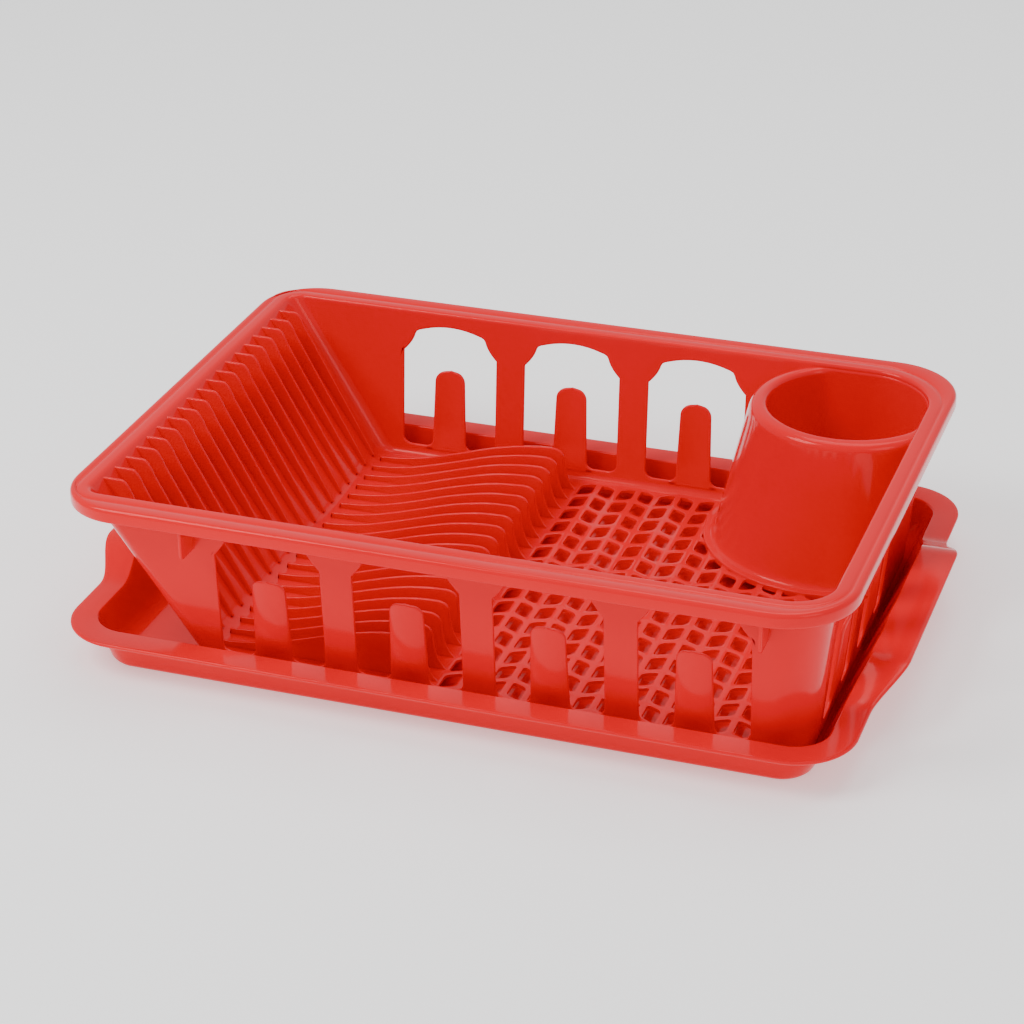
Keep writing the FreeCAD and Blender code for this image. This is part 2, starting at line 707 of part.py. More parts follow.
def main():
    """Write one STEP file for each node."""
    os.makedirs("parts", exist_ok=True)
    for name, shape in make_nodes().items():
        shape.exportStep("parts/" + name + ".step")


main()
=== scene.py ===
import math

import bmesh
import bpy
import numpy as np
from bpy.props import FloatProperty, FloatVectorProperty, IntProperty, PointerProperty
from mathutils import Matrix, Vector


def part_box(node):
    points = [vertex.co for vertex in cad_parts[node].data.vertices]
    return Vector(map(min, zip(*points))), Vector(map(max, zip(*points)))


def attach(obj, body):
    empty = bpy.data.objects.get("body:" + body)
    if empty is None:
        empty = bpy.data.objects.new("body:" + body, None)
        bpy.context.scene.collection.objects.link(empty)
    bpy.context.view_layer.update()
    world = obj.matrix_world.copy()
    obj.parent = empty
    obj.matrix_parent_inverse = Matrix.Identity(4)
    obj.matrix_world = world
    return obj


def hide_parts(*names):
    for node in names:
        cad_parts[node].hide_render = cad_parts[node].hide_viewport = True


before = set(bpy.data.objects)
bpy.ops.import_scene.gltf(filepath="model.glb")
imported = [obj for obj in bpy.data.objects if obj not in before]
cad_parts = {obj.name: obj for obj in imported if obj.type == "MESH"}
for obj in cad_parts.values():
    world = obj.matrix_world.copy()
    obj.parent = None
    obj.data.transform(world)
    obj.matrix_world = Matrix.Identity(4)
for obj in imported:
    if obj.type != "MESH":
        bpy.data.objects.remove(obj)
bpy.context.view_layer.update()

bl_info = {
    "name": "Dish drying rack",
    "version": (1, 0, 0),
    "blender": (4, 5, 0),
    "location": "View3D > Sidebar > Dish rack",
    "description": "Builds a moulded dish drying rack in its drip tray around its CAD frame",
    "category": "Object",
}

MM = 0.001

RIM_LOW, RIM_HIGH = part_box("basket_rim")
FLOOR_LOW, FLOOR_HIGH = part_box("drain_floor")
RIB_LOW, RIB_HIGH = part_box("floor_plate_ribs")
WALL_RIB_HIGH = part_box("wall_plate_ribs")[1]
FINGER_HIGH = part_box("front_fingers")[1]
GUSSET_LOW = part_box("rim_gussets")[0]
FLANGE_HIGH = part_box("tray_flange")[1]
HANDLE_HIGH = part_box("right_handle")[1]


# ---------------------------------------------------------------- sizes and colours
def length(label, millimetres, words):
    """A size of the rack, kept in metres."""
    return FloatProperty(name=label, description=words, default=millimetres * MM, unit="LENGTH", precision=5)


class RackBasketSizes(bpy.types.PropertyGroup):
    """Sizes of the basket's walls, rim and floor."""
    wall: length("Wall", 2.2, "Thickness of the basket's walls")
    plate_run: length("Plate wall run", 66.5, "How far the plate wall leans out between floor and rim")
    end_run: length("End wall run", 10.0, "How far the end wall leans out between floor and rim")
    side_run: length("Side wall run", 7.5, "How far the front and back walls lean out between floor and rim")
    flat_end: length("Rim flat, ends", 14.0, "Width of the rim's flat at the two ends")
    flat_side: length("Rim flat, sides", 19.0, "Width of the rim's flat at the front and back")
    plate_corner: length("Plate wall corner", 10.0, "Inner corner radius beside the plate wall")
    end_corner: length("End wall corner", 25.0, "Inner corner radius between the front and end walls")
    cup_corner: length("Cup corner", 44.0, "Inner corner radius behind the cutlery cup")
    rim_plate_corner: length("Rim corners, plate end", 38.0, "Outer corner radius of the rim at the plate end")
    rim_cup_corner: length("Rim corners, cup end", 45.0, "Outer corner radius of the rim at the cup end")
    foot_round: length("Foot round", 5.0, "Radius between the walls and the floor")
    bead_round: length("Bead round", 2.0, "Radius of the rim's inner edge")
    lip_round: length("Lip round", 3.0, "Radius of the rim's outer edge")
    groove_depth: length("Groove depth", 0.7, "Depth of the groove round the rim")
    groove_inset: length("Groove inset", 8.4, "Distance from the mouth to the middle of the groove")


class RackBaySizes(bpy.types.PropertyGroup):
    """Sizes of the arched bays and their fingers."""
    pillar: length("Pillar", 20.0, "Width of the pillars between bays")
    width: length("Bay width", 65.0, "Width of each arched opening")
    first_gap: length("First gap", 15.0, "From the plate wall's foot to the first bay")
    slot_bottom: length("Slot bottom", 17.5, "Height of the bottom of the slots")
    slot_round: length("Slot round", 5.0, "Corner radius at the bottom of the slots")
    jamb_top: length("Jamb top", 84.0, "Height where the upright jambs end")
    elbow: length("Elbow", 6.3, "How far the elbow under a shoulder stands in from the jamb, and up")
    shoulder_in: length("Shoulder", 8.4, "How far the shoulders reach in from the jambs")
    shoulder_rise: length("Shoulder rise", 14.4, "Height of the shoulders")
    arch_top: length("Arch top", 103.0, "Height of the crown of the arches")
    tightness: FloatProperty(name="Arch tightness", description="Arch radius over that of a full arc", default=0.92)
    edge_round: length("Edge round", 0.8, "Radius of the openings' edges")
    edge_margin: length("Edge margin", 1.6, "Width of the flat strip beside the rounded edges")
    jamb_margin: length("Jamb margin", 2.5, "From the outermost jambs to the edge of their cells")
    finger_width: length("Finger width", 21.0, "Width of a finger near its top")
    finger_foot: length("Finger foot", 23.5, "Width of a finger at its foot")
    finger_round: length("Finger round", 7.0, "Radius of a finger's top corners")
    finger_bulge: length("Finger bulge", 2.0, "How far a finger's middle stands out from the wall")
    bulge_fade: length("Bulge fade", 20.0, "Height over which the bulge grows from a finger's foot")
    finger_edge: length("Finger edge", 0.9, "Radius of a finger's edges")
    finger_root: length("Finger root", 3.0, "How far a finger starts below the bottom of the slots")
    side_count: IntProperty(name="Side bays", description="Bays along the front wall", default=4)
    end_count: IntProperty(name="End bays", description="Bays across the end wall", default=3)


class RackRibSizes(bpy.types.PropertyGroup):
    """Sizes of the plate ribs."""
    pitch: length("Rib pitch", 14.6, "Distance from rib to rib")
    thickness: length("Rib thickness", 2.0, "Thickness of a rib")
    edge_round: length("Rib edge round", 0.75, "Radius of a rib's edges")
    low: length("Low end", 3.5, "Height of a floor rib at its low end")
    sweep: length("Sweep", 122.0, "Length of the S-shaped part of a floor rib")
    nose: length("Nose round", 7.0, "Radius at the high end of a floor rib")
    depth: length("Wall rib depth", 11.5, "How far a wall rib's flat top reaches in from the wall")
    side_count: IntProperty(name="Ribs each side", description="Ribs on each side of the middle one", default=9)


class RackGussetSizes(bpy.types.PropertyGroup):
    """Sizes of the gussets under the rim."""
    from_plate_end: length("From plate end", 82.0, "From the rim's plate end to the gussets there")
    from_cup_end: length("From cup end", 46.0, "From the rim's cup end to the gussets there")
    thickness: length("Gusset thickness", 2.0, "Thickness of a gusset")
    edge_round: length("Gusset edge round", 0.6, "Radius of a gusset's edges")
    corner: length("Gusset corner", 3.0, "Radius of a gusset's lower corner")
    root: length("Gusset root", 2.0, "How far a gusset reaches into the wall")


class RackGrilleSizes(bpy.types.PropertyGroup):
    """Sizes of the drain floor's holes."""
    first: length("First hole", -10.0, "Where the first column of holes starts")
    column: length("Column pitch", 13.54, "Distance from column to column")
    row: length("Row pitch", 18.7, "Distance from row to row")
    width: length("Hole width", 9.3, "Width of a drain hole")
    tall: length("Hole length", 14.4, "Length of a drain hole's upright sides")
    blunt: length("Blunt round", 4.8, "Radius in a hole's blunt corners")
    sharp: length("Sharp round", 1.4, "Radius in a hole's sharp corners")
    shift: length("Shift", 3.1, "How far the rows sit behind the middle")
    edge_round: length("Edge round", 0.45, "Radius of the holes' top edges")
    slope: FloatProperty(name="Slope", description="Rise of a cross-bar over its run", default=0.45)
    columns: IntProperty(name="Columns", description="Columns of holes", default=14)
    side_rows: IntProperty(name="Rows each side", description="Rows on each side of the middle one", default=7)


class RackCupSizes(bpy.types.PropertyGroup):
    """Sizes of the cutlery cup."""
    from_end: length("From end", 47.5, "From the end wall's top to the cup's axis")
    from_back: length("From back", 45.5, "From the back wall's top to the cup's axis")
    radius: length("Mouth radius", 51.5, "Inner radius of the cup's mouth")
    foot_radius: length("Foot radius", 46.0, "Inner radius of the cup's bottom")
    top: length("Top", 110.0, "Height of the cup's lip")
    lip: length("Lip width", 11.0, "Width of the cup's lip")
    spread: length("Skirt spread", 14.0, "How much the skirt widens down to the floor")
    shift_x: length("Skirt shift along", -9.0, "How far the skirt's foot moves along the rack")
    shift_y: length("Skirt shift across", 9.8, "How far the skirt's foot moves across the rack")
    ledge: length("Ledge", 6.3, "Width of the step round the skirt's foot")
    ledge_height: length("Ledge height", 2.0, "Height of the step round the skirt's foot")
    step: length("Step", 0.3, "How far the cup's bottom stands past the drain floor's faces")
    drain_radius: length("Drain radius", 3.2, "Radius of the holes in the cup's bottom")
    drain_circle: length("Drain circle", 24.0, "Radius of the circle those holes lie on")
    hub: length("Hub", 6.0, "Radius of the plain disc in the middle of the cup's bottom")
    drain_round: length("Drain round", 0.5, "Radius of the edges of those holes")
    drain_margin: length("Drain margin", 1.2, "Width of the flat strip beside those edges")
    drains: IntProperty(name="Drains", description="Holes in the cup's bottom", default=8)


class RackTraySizes(bpy.types.PropertyGroup):
    """Sizes of the drip tray."""
    wall: length("Tray wall", 2.2, "Thickness of the tray")
    flange_end: length("Flange, ends", 15.8, "Width of the flange at the ends")
    flange_side: length("Flange, sides", 17.5, "Width of the flange at the front and back")
    outer_corner: length("Outer corner", 38.0, "Corner radius of the flange")
    inner_corner: length("Inner corner", 22.0, "Corner radius inside the flange")
    foot_corner: length("Foot corner", 16.0, "Corner radius at the foot of the walls")
    base: length("Base round", 3.6, "Radius between the walls and the underside")
    end_run: length("End run", 11.0, "How far the tray's ends lean out")
    side_run: length("Side run", 3.0, "How far the tray's sides lean out")
    fold: length("Fold", 8.0, "Radius between the tray's floor and its walls")
    edge: length("Edge round", 1.0, "Radius of the flange's outer edge")
    brim: length("Brim round", 1.2, "Radius where the walls turn into the flange")
    handle_half: length("Handle half", 66.0, "Half the length of a handle's level grip")
    ramp: length("Ramp", 44.0, "Length of each ramp from the grip down to the flange")


class RackFinish(bpy.types.PropertyGroup):
    """Colour and gloss of the plastic."""
    colour: FloatVectorProperty(name="Colour", description="Base colour of the plastic", subtype="COLOR",
                                size=3, min=0.0, max=1.0, default=(0.82, 0.0, 0.01))
    roughness: FloatProperty(name="Roughness", description="Mean roughness of the plastic", default=0.13)
    gloss: FloatProperty(name="Gloss", description="Specular level of the plastic", default=0.42)


GROUPS = {
    "rack_basket": RackBasketSizes,
    "rack_bays": RackBaySizes,
    "rack_ribs": RackRibSizes,
    "rack_gussets": RackGussetSizes,
    "rack_grille": RackGrilleSizes,
    "rack_cup": RackCupSizes,
    "rack_tray": RackTraySizes,
    "rack_finish": RackFinish,
}


# ---------------------------------------------------------------- surfaces
class Surface:
    """A closed surface put together from grids of points whose shared borders weld."""

    weld = 2e-6
    least_edge = 1e-7
    sharp = math.radians(42)

    def __init__(self):
        self.points = []
        self.quads = []
        self.count = 0

    def grid(self, points, close_columns=False, skip=None):
        """Add a grid of points (rows, columns, 3); skip marks the gaps between columns to leave open."""
        rows, columns = points.shape[:2]
        index = np.arange(rows * columns).reshape(rows, columns) + self.count
        if close_columns:
            index = np.hstack([index, index[:, :1]])
        quads = np.stack([index[:-1, :-1], index[1:, :-1], index[1:, 1:], index[:-1, 1:]], axis=-1)
        if skip is not None:
            quads = quads[:, ~skip]
        self.points.append(points.reshape(-1, 3))
        self.quads.append(quads.reshape(-1, 4))
        self.count += rows * columns

    def build(self, name):
        """Weld the grids, turn the faces outwards and return the new object."""
        points = np.vstack(self.points)
        quads = np.vstack(self.quads)
        keys = np.round(points / self.weld).astype(np.int64)
        _, first, inverse = np.unique(keys, axis=0, return_index=True, return_inverse=True)
        quads = inverse.reshape(-1)[quads]
        same = quads == np.roll(quads, -1, axis=1)
        whole = quads[~same.any(axis=1)]
        bent = same.sum(axis=1) == 1
        keep = ~same[bent]
        triangles = quads[bent][keep].reshape(-1, 3)
        faces = whole.tolist() + triangles.tolist()
        mesh = bpy.data.meshes.new(name)
        mesh.from_pydata(points[first].tolist(), [], faces)
        work = bmesh.new()
        work.from_mesh(mesh)
        bmesh.ops.dissolve_degenerate(work, dist=self.least_edge, edges=work.edges)
        bmesh.ops.recalc_face_normals(work, faces=work.faces)
        bmesh.ops.reverse_faces(work, faces=inside_out(work))
        work.to_mesh(mesh)
        work.free()
        mesh.shade_smooth()
        mesh.set_sharp_from_angle(angle=self.sharp)
        piece = bpy.data.objects.new(name, mesh)
        bpy.context.scene.collection.objects.link(piece)
        return piece


def inside_out(work):
    """Faces of the islands whose volume comes out negative: the sum over corners (a, b, c) of a . (b x c) / 6,
    measured from the island's first vertex."""
    work.verts.index_update()
    corners = np.array([[loop.vert.index for loop in corner] for corner in work.calc_loop_triangles()])
    places = np.array([vert.co[:] for vert in work.verts])
    island = np.arange(len(places))
    while True:
        lowest = island[corners].min(axis=1)
        joined = island.copy()
        np.minimum.at(joined, corners.reshape(-1), np.repeat(lowest, 3))
        joined = joined[joined]
        if np.array_equal(joined, island):
            break
        island = joined
    owner = island[corners[:, 0]]
    a, b, c = (places[corners[:, k]] - places[owner] for k in range(3))
    volume = np.bincount(owner, weights=np.einsum("ij,ij->i", a, np.cross(b, c)), minlength=len(places))
    turned = volume[island] < 0
    return [face for face in work.faces if turned[face.verts[0].index]]


def column(values):
    """A one-dimensional array as a column."""
    return np.asarray(values, float).reshape(-1, 1)


def walk(points, count):
    """Points at equal steps along the line through points (n, 2), both ends included."""
    steps = np.hypot(*np.diff(points, axis=0).T)
    run = np.concatenate([[0], np.cumsum(steps)])
    wanted = np.linspace(0, run[-1], count + 1)
    return np.stack([np.interp(wanted, run, points[:, axis]) for axis in (0, 1)], axis=1)


def arc(centre, radius, start, stop, count):
    """Points on a circle's arc between two angles in degrees, both ends included."""
    angle = np.radians(np.linspace(start, stop, count + 1))
    return np.stack([centre[0] + radius * np.cos(angle), centre[1] + radius * np.sin(angle)], axis=1)


def bezier(start, pull, stop, count):
    """Points on a curve from start to stop that is drawn towards pull, both ends included."""
    t = column(np.linspace(0, 1, count + 1))
    return (1 - t) ** 2 * np.array(start) + 2 * t * (1 - t) * np.array(pull) + t ** 2 * np.array(stop)


def outward(loop):
    """Unit normals pointing out of a closed loop (n, 2) that runs anticlockwise."""
    along = np.roll(loop, -1, axis=0) - np.roll(loop, 1, axis=0)
    normal = np.stack([along[:, 1], -along[:, 0]], axis=1)
    return normal / np.maximum(np.linalg.norm(normal, axis=1, keepdims=True), 1e-12)


def edge_rounding(depth, radius, steps):
    """Set-back and depth of the points that carry a plate's edge round from one face to the other."""
    angle = np.linspace(0, math.pi / 2, steps + 1)
    near = np.stack([radius * (1 - np.sin(angle)), radius * (1 - np.cos(angle))], axis=1)
    far = np.stack([near[::-1, 0], depth - near[::-1, 1]], axis=1)
    return np.vstack([near, far])


def pierced(border, hole, depth, radius, steps=3, margin=None):
    """A plate cell round a hole: from the border across the near face to the hole, through it along a rounded
    edge, and back to the border across the far face. Rows are layers, columns follow the hole; (a, b, depth)."""
    normal = outward(hole)
    layers = edge_rounding(depth, radius, steps)
    if margin is not None:
        layers = np.vstack([[margin, 0], layers, [margin, depth]])
    set_back = layers[:, 0].reshape(-1, 1, 1)
    flat = hole + normal * set_back
    flat = np.concatenate([border[None], flat, border[None]])
    depths = np.concatenate([[0], layers[:, 1], [depth]]).reshape(-1, 1, 1)
    return np.concatenate([flat, np.broadcast_to(depths, (*flat.shape[:2], 1))], axis=2)


def blade(edge, base, thickness, radius, steps=3, shares=(0.0, 0.5)):
    """A flat plate between an edge line and a base line of equal counts, its rim rounded all round.
    Rows go from the middle line out over one face, round the rim and back over the other; (a, b, depth)."""
    loop = np.vstack([edge, base[::-1]])
    middle = (edge + base) / 2
    spine = np.vstack([middle, middle[::-1]])
    area = np.sum(loop[:, 0] * np.roll(loop[:, 1], -1) - np.roll(loop[:, 0], -1) * loop[:, 1])
    normal = outward(loop) * np.sign(area)
    layers = edge_rounding(thickness, radius, steps)
    rim = loop - normal * layers[:, 0].reshape(-1, 1, 1)
    share = np.array(shares).reshape(-1, 1, 1)
    near = spine + (rim[0] - spine) * share
    far = spine + (rim[-1] - spine) * share[::-1]
    flat = np.concatenate([near, rim, far])
    depths = np.concatenate([np.zeros(len(shares)), layers[:, 1], np.full(len(shares), thickness)])
    depths = np.broadcast_to(depths.reshape(-1, 1, 1), (*flat.shape[:2], 1))
    return np.concatenate([flat, depths], axis=2)


# ---------------------------------------------------------------- the basket's plan
class BasketPlan:
    """The basket's walls in plan: where they stand at each height, and the stations round them."""

    corner_steps = 14
    cell_steps = 18
    height_steps = 32
    lead_steps = 10
    short_steps = 4
    plate_steps = 40

    def __init__(self, scene):
        basket = scene.rack_basket
        bays = scene.rack_bays
        self.basket = basket
        self.bays = bays
        self.top = RIM_HIGH.z
        self.floor = FLOOR_HIGH.z
        self.mouth_x = RIM_HIGH.x - basket.flat_end
        self.mouth_y = RIM_HIGH.y - basket.flat_side
        self.foot_left = -self.mouth_x + basket.plate_run
        self.foot_right = self.mouth_x - basket.end_run
        self.foot_y = self.mouth_y - basket.side_run
        self.plate_slope = basket.plate_run / (self.top - self.floor)
        self.plate_wall = basket.wall * math.hypot(1, self.plate_slope)
        pitch = bays.width + bays.pillar
        first = self.foot_left + bays.first_gap + bays.width / 2
        self.side_centres = first + pitch * np.arange(bays.side_count)
        self.end_centres = (np.arange(bays.end_count) - (bays.end_count - 1) / 2) * pitch
        self.band_low = self.floor + basket.foot_round + 0.3 * MM
        self.band_high = bays.arch_top + 2 * MM
        self.heights = np.linspace(self.band_low, self.band_high, self.height_steps + 1)

    def edges(self, z):
        """Inner faces of the plate wall, end wall and side walls at height z."""
        rise = (z - self.floor) / (self.top - self.floor)
        left = self.foot_left - self.basket.plate_run * rise
        right = self.foot_right + self.basket.end_run * rise
        half = self.foot_y + self.basket.side_run * rise
        return left, right, half

    def borders(self, centres):
        """Edges of the cells round the bays: half-way across each pillar, and close beside the outer jambs."""
        close = self.bays.width / 2 + self.bays.jamb_margin
        halfway = (centres[1:] + centres[:-1]) / 2
        return np.concatenate([[centres[0] - close], halfway, [centres[-1] + close]])

    def run(self, start, stop, borders, before, after):
        """Stations along one wall from start to stop (columns, one per height) through fixed cell borders."""
        lead = np.linspace(0, 1, before, endpoint=False)
        tail = np.linspace(0, 1, after, endpoint=False)
        cells = [np.linspace(a, b, self.cell_steps, endpoint=False) for a, b in zip(borders, borders[1:])]
        fixed = np.concatenate(cells)
        first = start + (borders[0] - start) * lead
        last = borders[-1] + (stop - borders[-1]) * tail
        return np.hstack([first, np.broadcast_to(fixed, (len(start), len(fixed))), last])

    def straights(self, z):
        """Stations of the front, end, back and plate walls' straight stretches at heights z (a column)."""
        left, right, half = self.edges(z)
        near = left + self.basket.plate_corner
        far = right - self.basket.end_corner
        end = half - self.basket.end_corner
        plate = half - self.basket.plate_corner
        side = self.borders(self.side_centres)
        back = side[:-1][::-1]
        across = self.borders(self.end_centres[:-1])
        cup = self.basket.cup_corner
        front_x = self.run(near, far, side, self.lead_steps, self.short_steps)
        end_y = self.run(-end, half - cup, across, self.short_steps, self.lead_steps)
        back_x = self.run(right - cup, near, back, self.lead_steps, self.lead_steps)
        plate_y = plate * (1 - 2 * np.linspace(0, 1, self.plate_steps, endpoint=False))
        return front_x, end_y, back_x, plate_y

    def turn(self, start):
        """Angles of a corner's stations, from start through a quarter turn."""
        return np.radians(start + 90 * np.linspace(0, 1, self.corner_steps, endpoint=False))

    def loop(self, z, out, plate_out):
        """Closed paths at heights z, set out from the walls' inner faces; (heights, stations, 3)."""
        z, out, plate_out = column(z), column(out), column(plate_out)
        left, right, half = self.edges(z)
        front_x, end_y, back_x, plate_y = self.straights(z)
        end_r = self.basket.end_corner
        cup_r = self.basket.cup_corner
        plate_r = self.basket.plate_corner

        def corner(centre_x, centre_y, radius_x, radius_y, start):
            angle = self.turn(start)
            return centre_x + radius_x * np.cos(angle), centre_y + radius_y * np.sin(angle)

        stretches = [
            (front_x, -(half + out) + 0 * front_x),
            corner(right - end_r, end_r - half, end_r + out, end_r + out, -90),
            (right + out + 0 * end_y, end_y),
            corner(right - cup_r, half - cup_r, cup_r + out, cup_r + out, 0),
            (back_x, half + out + 0 * back_x),
            corner(left + plate_r, half - plate_r, plate_r + plate_out, plate_r + out, 90),
            (left - plate_out + 0 * plate_y, plate_y),
            corner(left + plate_r, plate_r - half, plate_r + plate_out, plate_r + out, 180),
        ]
        x = np.hstack([stretch[0] for stretch in stretches])
        y = np.hstack([stretch[1] for stretch in stretches])
        return np.stack([x, y, z + 0 * x], axis=2)

    def outer_loop(self, z, inset):
        """Closed paths just inside the rim's outer edge, with the same stations; (heights, stations, 3)."""
        z, inset = column(z), column(inset)
        x_end = RIM_HIGH.x - inset
        y_end = RIM_HIGH.y - inset
        plate_c = self.basket.rim_plate_corner
        cup_c = self.basket.rim_cup_corner
        left, right, wide = plate_c - RIM_HIGH.x, RIM_HIGH.x - cup_c, RIM_HIGH.y
        share = []
        for stations in self.straights(column([self.top])):
            first, last = stations[:, :1], 2 * stations[:, -1:] - stations[:, -2:-1]
            share.append((stations - first) / (last - first))
        front, end, back, plate = share

        def corner(radius, along, across, start):
            angle = self.turn(start)
            inner = radius - inset
            return along + inner * np.cos(angle), across + inner * np.sin(angle)

        stretches = [
            (left + (right - left) * front, -y_end),
            corner(cup_c, right, cup_c - wide, -90),
            (x_end, (cup_c - wide) * (1 - 2 * end)),
            corner(cup_c, right, wide - cup_c, 0),
            (right + (left - right) * back, y_end),
            corner(plate_c, left, wide - plate_c, 90),
            (-x_end, (wide - plate_c) * (1 - 2 * plate)),
            corner(plate_c, left, plate_c - wide, 180),
        ]
        x = np.hstack([sx + 0 * sy + 0 * z for sx, sy in stretches])
        y = np.hstack([sy + 0 * sx + 0 * z for sx, sy in stretches])
        return np.stack([x, y, z + 0 * x], axis=2)

    def cells(self):
        """Every bay: the wall it is in, its centre, its cell's edges and its first station."""
        front, end, back, _ = (stretch.shape[1] for stretch in self.straights(column([self.top])))
        step = self.cell_steps
        side = self.borders(self.side_centres)
        across = self.borders(self.end_centres[:-1])
        found = []
        for k, centre in enumerate(self.side_centres):
            found.append(("front", centre, side[k], side[k + 1], self.lead_steps + k * step))
        start = front + self.corner_steps
        for k, centre in enumerate(self.end_centres[:-1]):
            found.append(("end", centre, across[k], across[k + 1], start + self.short_steps + k * step))
        start += end + self.corner_steps
        open_back = list(self.side_centres[:-1])[::-1]
        for k, centre in enumerate(open_back):
            place = len(open_back) - 1 - k
            found.append(("back", centre, side[place], side[place + 1], start + self.lead_steps + k * step))
        return found

    def on_wall(self, wall, cell):
        """Carry (along, height, depth) points onto a wall; depth runs from its inner face outwards."""
        along, z, depth = cell[..., 0], cell[..., 1], cell[..., 2]
        _, right, half = self.edges(z)
        if wall == "front":
            return np.stack([along, -(half + depth), z], axis=-1)
        if wall == "back":
            return np.stack([along, half + depth, z], axis=-1)
        return np.stack([right + depth, along, z], axis=-1)


# ---------------------------------------------------------------- walls and rim
def bay_hole(bays, cell_steps, height_steps):
    """Outline of an arched bay about its centre, anticlockwise from the middle of its lower left corner:
    a level sill, rounded corners, upright jambs, S-shaped shoulders and a circular arch."""
    half = bays.width / 2
    spring = half - bays.shoulder_in
    spring_z = bays.jamb_top + bays.shoulder_rise
    crown = bays.arch_top - spring_z
    arch_radius = bays.tightness * (spring ** 2 + crown ** 2) / (2 * crown)
    drop = arch_radius - crown
    lean = math.atan2(spring, drop) - math.acos(arch_radius / math.hypot(spring, drop))
    round_at = (half - bays.slot_round, bays.slot_bottom + bays.slot_round)
    corner = arc(round_at, bays.slot_round, -90, 0, 16)
    sill_right = np.vstack([[0, bays.slot_bottom], corner[:9]])
    sill = np.vstack([sill_right[::-1] * [-1, 1], sill_right])
    shoulder_steps = 9
    jamb = np.vstack([corner[8:], [half, bays.jamb_top]])
    elbow = (half - bays.elbow, bays.jamb_top + bays.elbow)
    steep = (spring + 0.5 * MM, spring_z - 2.2 * MM)
    level = (spring - 2.4 * MM, spring_z + 2.4 * MM * math.tan(lean))
    shoulder = np.vstack([bezier((half, bays.jamb_top), elbow, steep, 20),
                          bezier(steep, (spring, spring_z), level, 12)[1:]])
    rising = np.vstack([walk(jamb, height_steps - shoulder_steps)[:-1], walk(shoulder, shoulder_steps)])
    degrees = math.degrees(lean)
    vault = arc((0, bays.arch_top - arch_radius), arch_radius, 90 - degrees, 90 + degrees, 40)
    arch = walk(np.vstack([level, vault, (-level[0], level[1])]), cell_steps)
    falling = rising[::-1] * [-1, 1]
    return np.vstack([walk(sill, cell_steps)[:-1], rising[:-1], arch[:-1], falling[:-1]])


def cell_border(low, high, heights, steps):
    """The rectangle round a bay, with as many points on each side as the bay's outline has there."""
    along = np.linspace(low, high, steps + 1)
    bottom = np.stack([along[:-1], np.full(steps, heights[0])], axis=1)
    right = np.stack([np.full(len(heights) - 1, high), heights[:-1]], axis=1)
    top = np.stack([along[:0:-1], np.full(steps, heights[-1])], axis=1)
    left = np.stack([np.full(len(heights) - 1, low), heights[:0:-1]], axis=1)
    return np.vstack([bottom, right, top, left])


def add_walls(surface, plan):
    """Both faces of the walls: a sheet between the foot and the rim, with a pierced cell at each bay."""
    basket = plan.basket
    inner = plan.loop(plan.heights, 0 * plan.heights, 0 * plan.heights)
    full = np.ones_like(plan.heights)
    outer = plan.loop(plan.heights, basket.wall * full, plan.plate_wall * full)
    skip = np.zeros(inner.shape[1], bool)
    hole = bay_hole(plan.bays, plan.cell_steps, plan.height_steps)
    for wall, centre, low, high, first in plan.cells():
        skip[first:first + plan.cell_steps] = True
        border = cell_border(low, high, plan.heights, plan.cell_steps)
        radius = plan.bays.edge_round
        cell = pierced(border, hole + [centre, 0], basket.wall, radius, margin=plan.bays.edge_margin)
        surface.grid(plan.on_wall(wall, cell), close_columns=True)
    surface.grid(inner, close_columns=True, skip=skip)
    surface.grid(outer, close_columns=True, skip=skip)


def add_foot(surface, plan):
    """The foot: from the walls' inner face round a hollow quarter circle to the floor, under it and back up
    the outer face round a small quarter circle."""
    basket = plan.basket
    turn = np.radians(np.linspace(0, 90, 9))
    radius = basket.foot_round
    small = 1.2 * MM
    under = FLOOR_LOW.z
    hollow_out = -radius * (1 - np.cos(turn))
    hollow_z = plan.floor + radius * (1 - np.sin(turn))
    heel = np.radians(np.linspace(0, 90, 5))
    wall = basket.wall
    out = [0, *hollow_out, -radius - 1.0 * MM, -radius - 1.0 * MM]
    out += [*(wall - small + small * np.sin(heel)), wall]
    z = [plan.band_low, *hollow_z, plan.floor - 0.02 * MM, under]
    z += [*(under + small * (1 - np.cos(heel))), plan.band_low]
    out = np.array(out)
    plate_out = np.where(out > 0, out * plan.plate_wall / wall, out * 1.25)
    surface.grid(plan.loop(z, out, plate_out), close_columns=True)


